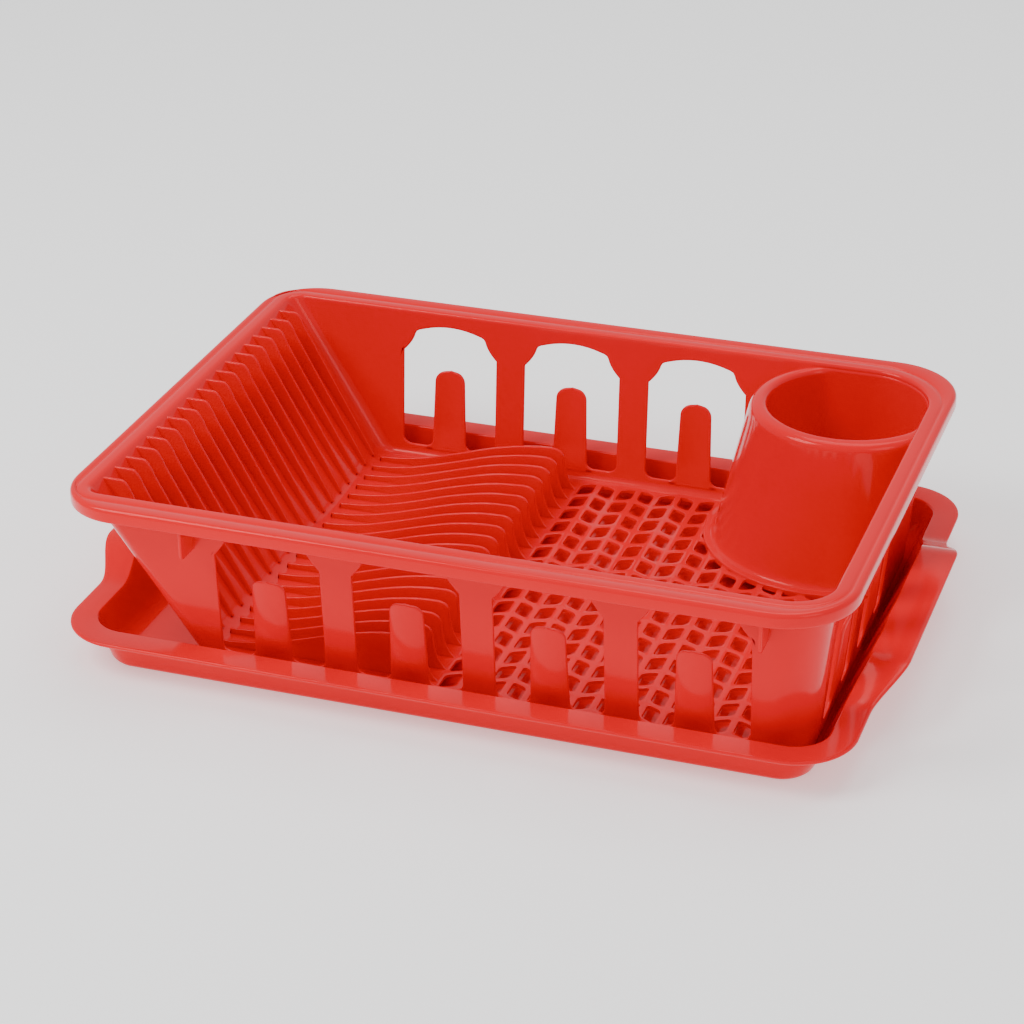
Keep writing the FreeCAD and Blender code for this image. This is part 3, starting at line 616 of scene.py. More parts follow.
def add_rim(surface, plan):
    """The rim: a bead round the mouth, a groove, a flat band, a rounded outer edge and a turned-down lip."""
    basket = plan.basket
    top = plan.top
    wall = basket.wall
    bead = basket.bead_round
    turn = np.radians(np.linspace(0, 90, 6))
    groove = basket.groove_inset
    bottom = top - basket.groove_depth
    inner_out = [0, 0, *(bead * (1 - np.cos(turn))), 0.55 * groove, groove - 1.5 * MM]
    inner_z = [plan.band_high, top - 1.6 * bead, *(top - bead * (1 - np.sin(turn)))]
    inner_z += [top, top - 0.1 * MM]
    inner_out += [groove - 0.9 * MM, groove - 0.4 * MM, groove + 0.4 * MM, groove + 1.0 * MM, groove + 1.6 * MM]
    inner_z += [top - 0.35 * MM, bottom, bottom, top - 0.3 * MM, top - 0.05 * MM]
    inner = plan.loop(inner_z, inner_out, inner_out)
    lip = basket.lip_round
    low = RIM_LOW.z
    turn = np.radians(np.linspace(0, 90, 8))
    heel = np.radians(np.linspace(0, 180, 7))
    outer_in = [*(lip * (1 - np.sin(turn))), 0, *(wall / 2 * (1 - np.cos(heel))), wall, wall]
    outer_z = [*(top - lip * (1 - np.cos(turn))), top - 2 * lip, *(low + wall / 2 * (1 - np.sin(heel)))]
    outer_z += [low + 2 * wall, top - wall - 0.8 * MM]
    outer = plan.outer_loop(outer_z, outer_in)
    back_z = [top - wall, top - wall - 1.0 * MM, plan.band_high]
    back_out = np.array([wall + 1.2 * MM, wall, wall])
    plate_out = back_out * plan.plate_wall / wall
    back = plan.loop(back_z, back_out, plate_out)
    under = plan.outer_loop([top - wall], [wall + 0.8 * MM])
    surface.grid(np.concatenate([inner, outer, under, back]), close_columns=True)


def add_fingers(plan, wall, centres, name, node):
    """Fingers: rounded blades whose faces bow out as 1 - (across / half width) squared, feet flared into the
    sill by quarter circles."""
    bays = plan.bays
    surface = Surface()
    foot = bays.slot_bottom - bays.finger_root
    flare_top = bays.slot_bottom + bays.slot_round
    radius = bays.finger_round
    tip = FINGER_HIGH.z
    half_top = bays.finger_width / 2
    half_foot = bays.finger_foot / 2
    turn = np.radians(np.linspace(0, 90, 9))
    flare_x = half_foot + bays.slot_round * (1 - np.sin(turn))
    flare_z = flare_top - bays.slot_round * np.cos(turn)
    flare = np.stack([flare_x, flare_z], axis=1)
    crown = arc((half_top - radius, tip - radius - 0.6 * MM), radius, 0, 80, 12)
    side = np.vstack([[flare[0, 0], foot], flare, crown, [0, tip]])
    side = walk(side, 72)
    shares = (0.0, 0.25, 0.5, 0.75)
    cell = blade(side, side * [-1, 1], plan.basket.wall, bays.finger_edge, shares=shares)
    bow = np.clip(1 - (cell[..., 0] / half_foot) ** 2, 0, 1)
    fade = np.clip((cell[..., 1] - foot) / bays.bulge_fade, 0, 1)
    cell[..., 2] += bays.finger_bulge * bow * fade ** 2 * (3 - 2 * fade)
    for centre in centres:
        surface.grid(plan.on_wall(wall, cell + [centre, 0, 0]), close_columns=True)
    piece = surface.build(name)
    return finish(piece, "basket", "basket_plastic", node)


# ---------------------------------------------------------------- ribs and gussets
def copies(surface, cell, place, offsets):
    """Add one copy of a blade per offset; place turns (a, b, depth) and an offset into points."""
    for offset in offsets:
        surface.grid(place(cell, offset), close_columns=True)


def floor_rib_cell(plan, ribs):
    """Blade of a floor rib: its edge rises as (1 - cos) / 2, turns a rounded nose and drops to a flared foot."""
    low = plan.floor + ribs.low
    high = RIB_HIGH.z
    start = RIB_LOW.x
    end = RIB_HIGH.x
    share = np.linspace(0, 1, 40)
    sweep = np.stack([start + ribs.sweep * share, low + (high - low) * (1 - np.cos(math.pi * share)) / 2], axis=1)
    nose = bezier(sweep[-1], (end - 3.4 * MM, high - 0.2 * MM), (end - 4 * MM, high - 8 * MM), 10)
    drop = bezier(nose[-1], (end - 2.5 * MM, plan.floor + 4 * MM), (end + 5 * MM, plan.floor - 0.4 * MM), 12)
    line = walk(np.vstack([sweep, nose[1:], drop[1:]]), 84)
    base = np.stack([np.minimum(line[:, 0], end + 5 * MM), np.full(len(line), plan.floor - 1.2 * MM)], axis=1)
    return blade(line, base, ribs.thickness, ribs.edge_round)


def wall_rib_cell(plan, ribs):
    """Blade of a wall rib: a level top, a rounded nose, then a straight edge that runs into the wall's foot."""
    top = WALL_RIB_HIGH.z
    left, _, _ = plan.edges(top)
    foot_left = plan.foot_left
    flat_end = (left + ribs.depth, top)
    nose_end = (left + ribs.depth + 7 * MM, top - 10 * MM)
    foot = (foot_left + 0.5 * MM, plan.floor + 3.2 * MM)
    straight = np.array([nose_end, foot])
    nose = bezier(flat_end, (left + ribs.depth + 3.6 * MM, top - 0.6 * MM), nose_end, 12)
    line = np.vstack([[left - 1 * MM, top], nose, straight[1:]])
    line = walk(line, 72)
    height = np.linspace(top, plan.floor + 2 * MM, len(line))
    wall_x, _, _ = plan.edges(height)
    base = np.stack([wall_x - 1.0 * MM, height], axis=1)
    return blade(line, base, ribs.thickness, ribs.edge_round)


def gusset_cell(gussets, reach, wall_at, low, top):
    """Blade of a gusset: a level bottom edge with a rounded corner, then up to the rim; the base is the wall."""
    radius = gussets.corner
    corner = arc((reach - radius, low + radius), radius, -90, 0, 8)
    line = walk(np.vstack([[wall_at(low) - gussets.root, low], corner, [reach, top]]), 32)
    height = np.linspace(low, top, len(line))
    base = np.stack([wall_at(height) - gussets.root, height], axis=1)
    return blade(line, base, gussets.thickness, gussets.edge_round)


# ---------------------------------------------------------------- drain floor
CELL_SIDE = 6            # points along each side of a drain hole's cell


def drain_outline(grille, slope):
    """A drain hole about its centre: a parallelogram with upright sides, each corner an arc, and six points
    for each side; with the cell round it, a parallelogram of the grille's own pitch."""
    def corners(width, tall):
        tilt = slope * width / 2
        return np.array([[-width / 2, -tall / 2 - tilt], [width / 2, -tall / 2 + tilt],
                         [width / 2, tall / 2 + tilt], [-width / 2, tall / 2 - tilt]])

    outer = corners(grille.column, grille.row)
    inner = corners(grille.width, grille.tall)
    radii = [grille.sharp, grille.blunt] * 2 if slope > 0 else [grille.blunt, grille.sharp] * 2
    arcs = []
    for k in range(4):
        before = inner[k - 1] - inner[k]
        after = inner[(k + 1) % 4] - inner[k]
        before /= np.linalg.norm(before)
        after /= np.linalg.norm(after)
        half = math.acos(np.clip(before @ after, -1, 1)) / 2
        middle = (before + after) / np.linalg.norm(before + after)
        centre = inner[k] + middle * radii[k] / math.sin(half)
        side = np.array([-middle[1], middle[0]])
        swing = (math.pi / 2 - half) * column([-1, -0.5, 0, 0.5, 1])
        arcs.append(centre + radii[k] * (-middle * np.cos(swing) + side * -np.sin(swing)))
    hole = []
    border = []
    for k in range(4):
        following = (k + 1) % 4
        side_middle = (arcs[k][-1] + arcs[following][0]) / 2
        hole.append(np.vstack([arcs[k][2:], side_middle, arcs[following][:2]]))
        share = column(np.arange(CELL_SIDE) / CELL_SIDE)
        border.append(outer[k] + (outer[following] - outer[k]) * share)
    return np.vstack(hole), np.vstack(border)


def drain_floor(plan, grille, cup):
    """The drain floor: a cell for each hole, and plain strips from the grille's zig-zag edges to the foot."""
    surface = Surface()
    top = plan.floor
    depth = top - FLOOR_LOW.z
    rows = 2 * grille.side_rows + 1
    first = grille.first + grille.width / 2
    low_y = grille.shift - (rows / 2) * grille.row
    keep = plan.basket.foot_round
    left = plan.foot_left + keep
    right = plan.foot_right - keep
    edge_y = plan.foot_y - keep
    foot_x = plan.mouth_x - cup.from_end
    foot_y = plan.mouth_y - cup.from_back
    cup_x = foot_x + cup.shift_x
    cup_y = foot_y + cup.shift_y
    covered = cup.radius + cup.lip + cup.spread - 12 * MM

    def lie(cell):
        flat = np.stack([cell[..., 0], cell[..., 1], top - cell[..., 2]], axis=-1)
        return within_walls(plan, flat, 0.5 * MM, soft=0.3 * MM)

    def is_open(i, j):
        """Whether the cell is left out, for the cup's own bottom to close."""
        x = first + i * grille.column
        y = low_y + (j + 0.5) * grille.row
        inside = 0 <= i < grille.columns and 0 <= j < rows
        return inside and math.hypot(x - foot_x, y - foot_y) < cup.foot_radius - 1 * MM

    for i in range(grille.columns):
        slope = grille.slope if i % 2 == 0 else -grille.slope
        hole, border = drain_outline(grille, slope)
        cell = pierced(border, hole, depth, grille.edge_round, steps=2)
        cell = np.delete(cell, [-2, -3], axis=0)
        middle = border.mean(axis=0)
        plain = np.stack([border, np.broadcast_to(middle, border.shape)])
        for j in range(rows):
            x = first + i * grille.column
            y = low_y + (j + 0.5) * grille.row
            if math.hypot(x - cup_x, y - cup_y) > covered:
                surface.grid(lie(cell + [x, y, 0]), close_columns=True)
                continue
            if is_open(i, j):
                for side, (across, along) in enumerate(((0, -1), (1, 0), (0, 1), (-1, 0))):
                    if not is_open(i + across, j + along):
                        edge = np.roll(border, -CELL_SIDE * side, axis=0)[:CELL_SIDE + 1]
                        edges = [np.column_stack([edge, np.full(len(edge), level)]) for level in (0, depth)]
                        surface.grid(lie(np.stack(edges) + [x, y, 0]))
                continue
            for level in (0, depth):
                flat = np.concatenate([plain, np.full((*plain.shape[:2], 1), level)], axis=2)
                surface.grid(lie(flat + [x, y, 0]), close_columns=True)

    start_x = first - grille.column / 2
    steps = np.arange(grille.columns * CELL_SIDE + 1)
    x = start_x + steps * grille.column / CELL_SIDE
    phase = np.abs((steps / CELL_SIDE + 1) % 2 - 1)
    rise = grille.slope * grille.column * (phase - 0.5)
    x = np.concatenate([[left], x, [right]])
    rise = np.concatenate([[rise[0]], rise, [rise[-1]]])
    side = np.arange(rows * CELL_SIDE + 1) / CELL_SIDE * grille.row + low_y
    bands = [
        (np.stack([x, low_y + rise]), np.stack([x, -edge_y + 0 * x])),
        (np.stack([x, low_y + rows * grille.row + rise]), np.stack([x, edge_y + 0 * x])),
        (np.stack([start_x + 0 * side, side + rise[1]]), np.stack([left + 0 * side, side + rise[1]])),
        (np.stack([x[-2] + 0 * side, side + rise[-2]]), np.stack([right + 0 * side, side + rise[-2]])),
    ]
    front = bands[0][1]
    back = bands[1][1]
    round_x = np.concatenate([front[0], bands[3][1][0], back[0][::-1], bands[2][1][0][::-1]])
    round_y = np.concatenate([front[1], bands[3][1][1], back[1][::-1], bands[2][1][1][::-1]])
    rims = []
    for level in (0, depth):
        for near, far in bands:
            grid = np.stack([near.T, far.T])
            surface.grid(lie(np.concatenate([grid, np.full((*grid.shape[:2], 1), level)], axis=2)))
        rims.append(np.stack([round_x, round_y, np.full(len(round_x), level)], axis=1))
    surface.grid(lie(np.stack(rims)), close_columns=True)
    piece = surface.build("drain_floor_grille")
    return finish(piece, "basket", "basket_plastic", "drain_floor")


# ---------------------------------------------------------------- cutlery cup
def within_walls(plan, points, limit, soft=MM):
    """Points further out than limit beyond the walls' inner faces are drawn back to it, along the wall or
    round its corner: a distance d to the limit becomes soft * log(1 + exp(d / soft))."""
    x, y, z = points[..., 0], points[..., 1], points[..., 2]
    _, right, half = plan.edges(z)
    radius = plan.basket.cup_corner
    centre_x = right - radius
    centre_y = half - radius

    def held(reach):
        gap = (radius + limit - reach) / soft
        return radius + limit - soft * np.logaddexp(0, gap)

    in_corner = (x > centre_x) & (y > centre_y)
    reach = np.maximum(np.hypot(x - centre_x, y - centre_y), 1e-9)
    pull = held(reach) / reach
    new_x = np.where(in_corner, centre_x + (x - centre_x) * pull, centre_x + held(x - centre_x))
    new_y = np.where(in_corner, centre_y + (y - centre_y) * pull, centre_y + held(y - centre_y))
    return np.stack([new_x, new_y, z], axis=-1)


def cutlery_cup(plan, cup):
    """The cup: one closed profile of radius and height carried round a circle whose centre drifts with height
    on the skirt's side: liner, rounded lip, leaning skirt, ledge, and back up inside the hollow."""
    surface = Surface()
    wall = plan.basket.wall
    axis = np.array([plan.mouth_x - cup.from_end, plan.mouth_y - cup.from_back])
    floor = plan.floor + cup.step
    under = FLOOR_LOW.z + cup.step
    plate_low = FLOOR_LOW.z - cup.step
    shoulder = cup.radius + cup.lip
    skirt_foot = shoulder + cup.spread
    ledge_top = plan.floor + cup.ledge_height
    hollow_top = cup.top - 6 * MM
    liner = np.array([[cup.foot_radius, floor], [cup.radius - 0.25 * MM, cup.top - 4.5 * MM]])
    lip_in = bezier(liner[-1], (cup.radius, cup.top - 0.2 * MM), (cup.radius + 4 * MM, cup.top), 8)
    lip_out = bezier((shoulder - 5 * MM, cup.top - 0.5 * MM), (shoulder - 0.6 * MM, cup.top - 0.9 * MM),
                     (shoulder + 0.4 * MM, cup.top - 6.5 * MM), 9)
    foot = bezier((skirt_foot - 1.0 * MM, ledge_top + 7 * MM), (skirt_foot, ledge_top),
                  (skirt_foot + 3 * MM, ledge_top), 7)
    rim = skirt_foot + cup.ledge
    ledge = bezier((rim - 1.2 * MM, ledge_top), (rim, ledge_top), (rim, ledge_top - 1.0 * MM), 4)
    outside = walk(np.array([lip_out[-1], foot[0]]), 14)[1:-1]
    inside = walk(np.array([[skirt_foot - wall, under], [shoulder - wall, hollow_top]]), 10)
    hollow = walk(np.array([[cup.radius + wall, hollow_top], [cup.foot_radius + wall, plate_low]]), 10)
    profile = np.vstack([walk(liner, 10)[:-1], lip_in, lip_out, outside, foot, ledge, [rim, floor - 0.5 * MM],
                         [rim, under], inside, [cup.radius + wall + 1 * MM, cup.top - wall], hollow,
                         [cup.foot_radius, plate_low]])
    still = cup.top - 4 * MM
    drift = np.clip((still - profile[:, 1]) / (still - floor), 0, 1.05)
    on_skirt = profile[:, 0] > shoulder - wall - 0.5 * MM
    drift = column(np.where(on_skirt, drift, 0))
    count = 24
    angle = np.radians(np.linspace(0, 360, cup.drains * count, endpoint=False))
    x = axis[0] + cup.shift_x * drift + column(profile[:, 0]) * np.cos(angle)
    y = axis[1] + cup.shift_y * drift + column(profile[:, 0]) * np.sin(angle)
    ring = np.stack([x, y, column(profile[:, 1]) + 0 * x], axis=2)
    depth = np.interp(profile[:, 0], [cup.foot_radius, cup.radius + 1 * MM, shoulder], [-0.5, -0.5, 1.6])
    place = np.arange(len(profile))
    hidden = (place >= len(profile) - len(hollow) - len(inside) - 1) & (place < len(profile) - 1)
    limit = column(np.where(hidden, np.maximum(depth, 0.3), depth)) * MM
    surface.grid(within_walls(plan, ring, limit), close_columns=True)

    sector = math.radians(360 / cup.drains)
    hub = cup.hub
    swing = np.linspace(-sector / 2, sector / 2, count + 1)
    reach = np.linspace(hub, cup.foot_radius, count + 1)
    polar = np.vstack([
        np.stack([reach[:-1], np.full(count, -sector / 2)], axis=1),
        np.stack([np.full(count, cup.foot_radius), swing[:-1]], axis=1),
        np.stack([reach[:0:-1], np.full(count, sector / 2)], axis=1),
        np.stack([np.full(count, hub), swing[:0:-1]], axis=1),
    ])
    border = np.stack([polar[:, 0] * np.cos(polar[:, 1]), polar[:, 0] * np.sin(polar[:, 1])], axis=1)
    hole = arc((cup.drain_circle, 0), cup.drain_radius, -135, 225, 4 * count)[:-1]
    cell = pierced(border, hole, floor - plate_low, cup.drain_round, margin=cup.drain_margin)
    for index in range(cup.drains):
        turn = sector * index
        a = cell[..., 0] * math.cos(turn) - cell[..., 1] * math.sin(turn)
        b = cell[..., 0] * math.sin(turn) + cell[..., 1] * math.cos(turn)
        lying = np.stack([axis[0] + a, axis[1] + b, floor - cell[..., 2]], axis=-1)
        surface.grid(within_walls(plan, lying, -0.5 * MM), close_columns=True)
    around = np.linspace(0, 2 * math.pi, cup.drains * count, endpoint=False) + sector / 2
    for z in (floor, plate_low):
        hub_rows = [np.stack([axis[0] + r * np.cos(around), axis[1] + r * np.sin(around),
                              np.full(len(around), z)], axis=1) for r in (hub, 0)]
        surface.grid(np.stack(hub_rows), close_columns=True)
    piece = surface.build("cutlery_cup_ring")
    return finish(piece, "basket", "basket_plastic", "cutlery_cup", "cup_skirt", "cup_ledge")


# ---------------------------------------------------------------- drip tray
def drip_tray(tray):
    """The tray: rounded rectangles from the middle of its floor out to the flange's edge and back underneath.
    Over each handle the flange is lifted and drawn out by 1 in the middle, falling as (1 + cos) / 2."""
    wall = tray.wall
    outer_x = FLANGE_HIGH.x
    outer_y = FLANGE_HIGH.y
    top = FLANGE_HIGH.z
    inner_x = outer_x - tray.flange_end
    inner_y = outer_y - tray.flange_side
    lift_z = HANDLE_HIGH.z - top
    lift_x = HANDLE_HIGH.x - outer_x
    rise = top - wall
    slope_x = tray.end_run / rise
    slope_y = tray.side_run / rise
    foot_x = inner_x - tray.end_run
    foot_y = inner_y - tray.side_run
    edge = tray.edge
    brim = tray.brim
    fold = tray.fold
    corner = tray.inner_corner
    rows = []

    def ring(half_x, half_y, radius, z, reach=0.0, lift=0.0):
        rows.append((half_x, half_y, radius, z, reach, lift))

    def wall_corner(z):
        return tray.foot_corner + (corner - tray.foot_corner) * min(max((z - wall) / rise, 0), 1)

    def wall_ring(z, out_x, out_y, lift):
        height = z - wall
        ring(foot_x + slope_x * height + out_x, foot_y + slope_y * height + out_y, wall_corner(z) + out_x, z,
             lift * lift_z * slope_x, lift * lift_z)

    ring(0, 0, 0, wall)
    for share in (0.3, 0.6, 0.85, 1.0):
        ring((foot_x - fold) * share, (foot_y - fold) * share, (tray.foot_corner - fold) * share, wall)
    for turn in np.radians((15, 30, 45, 60, 75)):
        z = wall + fold * (1 - math.cos(turn))
        back = fold * (1 - math.sin(turn))
        ring(foot_x + slope_x * (z - wall) - back, foot_y + slope_y * (z - wall) - back,
             wall_corner(z) - back, z)
    for z in np.linspace(wall + fold, top - brim, 6):
        share = (z - wall - fold) / (top - brim - wall - fold)
        wall_ring(z, 0, 0, share)
    for turn in np.radians((22.5, 45, 67.5, 90)):
        out = brim * (1 - math.cos(turn))
        ring(inner_x - slope_x * brim * 0.5 + out, inner_y - slope_y * brim * 0.5 + out, corner + out,
             top - brim * (1 - math.sin(turn)), lift_z * slope_x, lift_z)
    for inset in (2.5 * MM, edge):
        ring(outer_x - inset, outer_y - inset, tray.outer_corner - inset, top, lift_x, lift_z)
    for turn in np.radians((30, 60, 90, 120, 150, 180)):
        inset = edge * (1 - math.sin(turn))
        z = top - wall / 2 + (wall / 2) * math.cos(turn)
        ring(outer_x - inset, outer_y - inset, tray.outer_corner - inset, z, lift_x, lift_z)
    ring(inner_x + 2 * wall, inner_y + 2 * wall, corner + 2 * wall, top - wall, lift_z * slope_x, lift_z)
    wall_ring(top - wall - 1.2 * MM, wall + 0.3 * MM, wall, 1.0)
    for z in np.linspace(top - 2 * wall, wall + fold, 6):
        share = (z - wall - fold) / (top - 2 * wall - wall - fold)
        wall_ring(z, wall + 0.2 * MM, wall, share)
    base = tray.base
    for turn in np.radians((0, 22.5, 45, 67.5, 90)):
        z = base * (1 - math.sin(turn))
        back = base * (1 - math.cos(turn))
        ring(foot_x + wall + slope_x * (z - wall) - back, foot_y + wall + slope_y * (z - wall) - back,
             tray.foot_corner + wall - back, z)
    for share in (0.98, 0.6, 0.3, 0.0):
        ring((foot_x - base) * share, (foot_y - base) * share, (tray.foot_corner - base) * share, 0)

    half_x, half_y, radius, z, reach, lift = (column(values) for values in zip(*rows))
    turns = np.radians(np.linspace(0, 90, 16, endpoint=False))
    long = np.linspace(-1, 1, 30, endpoint=False)
    across = np.linspace(-1, 1, 110, endpoint=False)
    straight_x = half_x - radius
    straight_y = half_y - radius
    quarter = math.pi / 2
    stretches = [
        (straight_x * long, -half_y + 0 * long),
        (straight_x + radius * np.cos(turns - quarter), -straight_y + radius * np.sin(turns - quarter)),
        (half_x + 0 * across, straight_y * across),
        (straight_x + radius * np.cos(turns), straight_y + radius * np.sin(turns)),
        (-straight_x * long, half_y + 0 * long),
        (-straight_x + radius * np.cos(turns + quarter), straight_y + radius * np.sin(turns + quarter)),
        (-half_x + 0 * across, -straight_y * across),
        (-straight_x + radius * np.cos(turns + 2 * quarter), -straight_y + radius * np.sin(turns + 2 * quarter)),
    ]
    x = np.hstack([stretch[0] for stretch in stretches])
    y = np.hstack([stretch[1] for stretch in stretches])
    share = np.clip((np.abs(y) - tray.handle_half) / tray.ramp, 0, 1)
    raised = (1 + np.cos(math.pi * share)) / 2
    x = x + np.sign(x) * reach * raised
    surface = Surface()
    surface.grid(np.stack([x, y, z + lift * raised], axis=2), close_columns=True)
    piece = surface.build("drip_tray_pan")
    return finish(piece, "tray", "tray_plastic", "drip_tray", "tray_flange", "right_handle", "left_handle")


# ---------------------------------------------------------------- plastic
class Value:
    """A shader value that can be added to, multiplied and so on."""

    def __init__(self, nodes, socket):
        self.nodes = nodes
        self.socket = socket

    def maths(self, operation, left, right):
        return self.nodes.value("ShaderNodeMath", {"operation": operation}, {0: left, 1: right})

    def __add__(self, other):
        return self.maths("ADD", self, other)

    __radd__ = __add__

    def __sub__(self, other):
        return self.maths("SUBTRACT", self, other)

    def __rsub__(self, other):
        return self.maths("SUBTRACT", other, self)

    def __mul__(self, other):
        return self.maths("MULTIPLY", self, other)

    __rmul__ = __mul__


class Nodes:
    """The node tree of one material."""

    def __init__(self, material):
        material.use_nodes = True
        self.tree = material.node_tree
        self.tree.nodes.clear()

    def node(self, kind, settings=None, inputs=None):
        """Add a node, set its settings, then its sockets, by value or by link."""
        node = self.tree.nodes.new(kind)
        for name, value in (settings or {}).items():
            setattr(node, name, value)
        for name, value in (inputs or {}).items():
            if isinstance(value, Value):
                value = value.socket
            if isinstance(value, bpy.types.NodeSocket):
                self.tree.links.new(value, node.inputs[name])
            else:
                node.inputs[name].default_value = value
        return node

    def value(self, kind, settings=None, inputs=None, output=0):
        """Add a node and return one of its outputs as a Value."""
        return Value(self, self.node(kind, settings, inputs).outputs[output])


def rack_plastic(name, finish_settings):
    """Glossy moulded plastic: an even colour with faint flow marks, a fine orange peel and worn gloss."""
    material = bpy.data.materials.new(name)
    nodes = Nodes(material)
    place = nodes.node("ShaderNodeTexCoord").outputs["Object"]

    def noise(scale, detail, roughness=0.5):
        return nodes.value("ShaderNodeTexNoise", {}, {
            "Vector": place, "Scale": scale, "Detail": detail, "Roughness": roughness})

    cloud = noise(9.0, 3.0)
    peel = noise(240.0, 2.0)
    grain = noise(1900.0, 2.0)
    wave = noise(28.0, 1.0)
    scuff = nodes.value("ShaderNodeTexNoise", {}, {
        "Vector": nodes.node("ShaderNodeMapping", {}, {
            "Vector": place, "Scale": (60.0, 900.0, 300.0), "Rotation": (0.3, 0.2, 0.7)}).outputs[0],
        "Scale": 1.0, "Detail": 4.0})
    base = tuple(finish_settings.colour)
    deep = tuple(channel * 0.86 for channel in base)
    colour = nodes.node("ShaderNodeMix", {"data_type": "RGBA"}, {
        "Factor": cloud, "A": (*deep, 1.0), "B": (*base, 1.0)})
    rough = finish_settings.roughness + (cloud - 0.5) * 0.05 + (grain - 0.5) * 0.05 + (scuff - 0.5) * 0.06
    height = peel * 0.5 + grain * 0.12 + wave * 2.0
    bump = nodes.node("ShaderNodeBump", {}, {"Height": height, "Strength": 0.05, "Distance": 0.0006})
    shader = nodes.node("ShaderNodeBsdfPrincipled", {"subsurface_method": "RANDOM_WALK"}, {
        "Base Color": next(o for o in colour.outputs if o.type == "RGBA"),
        "Roughness": rough,
        "IOR": 1.5,
        "Specular IOR Level": finish_settings.gloss,
        "Specular Tint": (1.0, 0.35, 0.32, 1.0),
        "Normal": bump.outputs[0],
    })
    nodes.node("ShaderNodeOutputMaterial", {}, {"Surface": shader.outputs[0]})
    return material


def plastic(slot):
    """The material of a slot, made once."""
    name = slot + "_moulded"
    return bpy.data.materials.get(name) or rack_plastic(name, bpy.context.scene.rack_finish)


def finish(piece, body, slot, *nodes):
    """Give a piece its plastic, its body and the CAD nodes it stands for."""
    piece.data.materials.append(plastic(slot))
    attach(piece, body)
    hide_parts(*nodes)
    return piece


# ---------------------------------------------------------------- operators
LIGHTS = (
    ("key", (-1.0, -0.8, 1.5), 0.9, 24.0),
    ("fill", (1.5, -0.9, 1.2), 0.8, 5.0),
    ("top", (0.1, 0.6, 1.9), 1.3, 14.0),
)
SKY_STRENGTH = 0.7
SHEET_HALF = 12.0
CAMERA_PLACE = (0.5026, -1.4830, 0.8598)
CAMERA_AZIMUTH, CAMERA_ELEVATION, CAMERA_ROLL = (math.radians(angle) for angle in (19.16, 27.07, -0.39))
CAMERA_LENS = 100.9
CAMERA_SHIFT = (0.0025, -0.0009)


class RackOperator:
    """What the rack's operators share."""
    bl_options = {"REGISTER", "UNDO"}


class RACK_OT_shell(RackOperator, bpy.types.Operator):
    """Build the basket's walls and rim"""
    bl_idname = "rack.shell"
    bl_label = "Basket walls and rim"

    def execute(self, context):
        plan = BasketPlan(context.scene)
        surface = Surface()
        add_walls(surface, plan)
        add_foot(surface, plan)
        add_rim(surface, plan)
        piece = surface.build("basket_walls_and_rim")
        finish(piece, "basket", "basket_plastic", "front_wall", "back_wall", "end_wall", "plate_wall", "basket_rim")
        return {"FINISHED"}


class RACK_OT_fingers(RackOperator, bpy.types.Operator):
    """Build the fingers in the arched bays"""
    bl_idname = "rack.fingers"
    bl_label = "Fingers"

    def execute(self, context):
        plan = BasketPlan(context.scene)
        add_fingers(plan, "front", plan.side_centres, "front_wall_fingers", "front_fingers")
        add_fingers(plan, "back", plan.side_centres[:-1], "back_wall_fingers", "back_fingers")
        add_fingers(plan, "end", plan.end_centres[:-1], "end_wall_fingers", "end_fingers")
        return {"FINISHED"}


class RACK_OT_ribs(RackOperator, bpy.types.Operator):
    """Build the plate ribs on the floor and on the plate wall"""
    bl_idname = "rack.ribs"
    bl_label = "Plate ribs"

    def execute(self, context):
        plan = BasketPlan(context.scene)
        ribs = context.scene.rack_ribs
        places = ribs.pitch * np.arange(-ribs.side_count, ribs.side_count + 1)

        def stand(cell, y):
            return np.stack([cell[..., 0], y - ribs.thickness / 2 + cell[..., 2], cell[..., 1]], axis=-1)

        for cell, name, node in (
                (floor_rib_cell(plan, ribs), "plate_ribs_on_floor", "floor_plate_ribs"),
                (wall_rib_cell(plan, ribs), "plate_ribs_on_wall", "wall_plate_ribs")):
            surface = Surface()
            copies(surface, cell, stand, places)
            finish(surface.build(name), "basket", "basket_plastic", node)
        return {"FINISHED"}


class RACK_OT_gussets(RackOperator, bpy.types.Operator):
    """Build the gussets under the rim"""
    bl_idname = "rack.gussets"
    bl_label = "Rim gussets"

    def execute(self, context):
        plan = BasketPlan(context.scene)
        gussets = context.scene.rack_gussets
        wall = plan.basket.wall

        def outer_face(z):
            return plan.edges(z)[2] + wall

        cell = gusset_cell(gussets, RIM_HIGH.y - wall, outer_face, GUSSET_LOW.z, plan.top - wall)
        surface = Surface()
        for side in (-1, 1):
            for middle in (RIM_LOW.x + gussets.from_plate_end, RIM_HIGH.x - gussets.from_cup_end):
                x = middle - gussets.thickness / 2 + cell[..., 2]
                surface.grid(np.stack([x, side * cell[..., 0], cell[..., 1]], axis=-1), close_columns=True)
        finish(surface.build("gussets_under_rim"), "basket", "basket_plastic", "rim_gussets")
        return {"FINISHED"}


class RACK_OT_floor(RackOperator, bpy.types.Operator):
    """Build the drain floor"""
    bl_idname = "rack.floor"
    bl_label = "Drain floor"

    def execute(self, context):
        drain_floor(BasketPlan(context.scene), context.scene.rack_grille, context.scene.rack_cup)
        return {"FINISHED"}


class RACK_OT_cup(RackOperator, bpy.types.Operator):
    """Build the cutlery cup"""
    bl_idname = "rack.cup"
    bl_label = "Cutlery cup"

    def execute(self, context):
        cutlery_cup(BasketPlan(context.scene), context.scene.rack_cup)
        return {"FINISHED"}


class RACK_OT_tray(RackOperator, bpy.types.Operator):
    """Build the drip tray"""
    bl_idname = "rack.tray"
    bl_label = "Drip tray"

    def execute(self, context):
        drip_tray(context.scene.rack_tray)
        return {"FINISHED"}


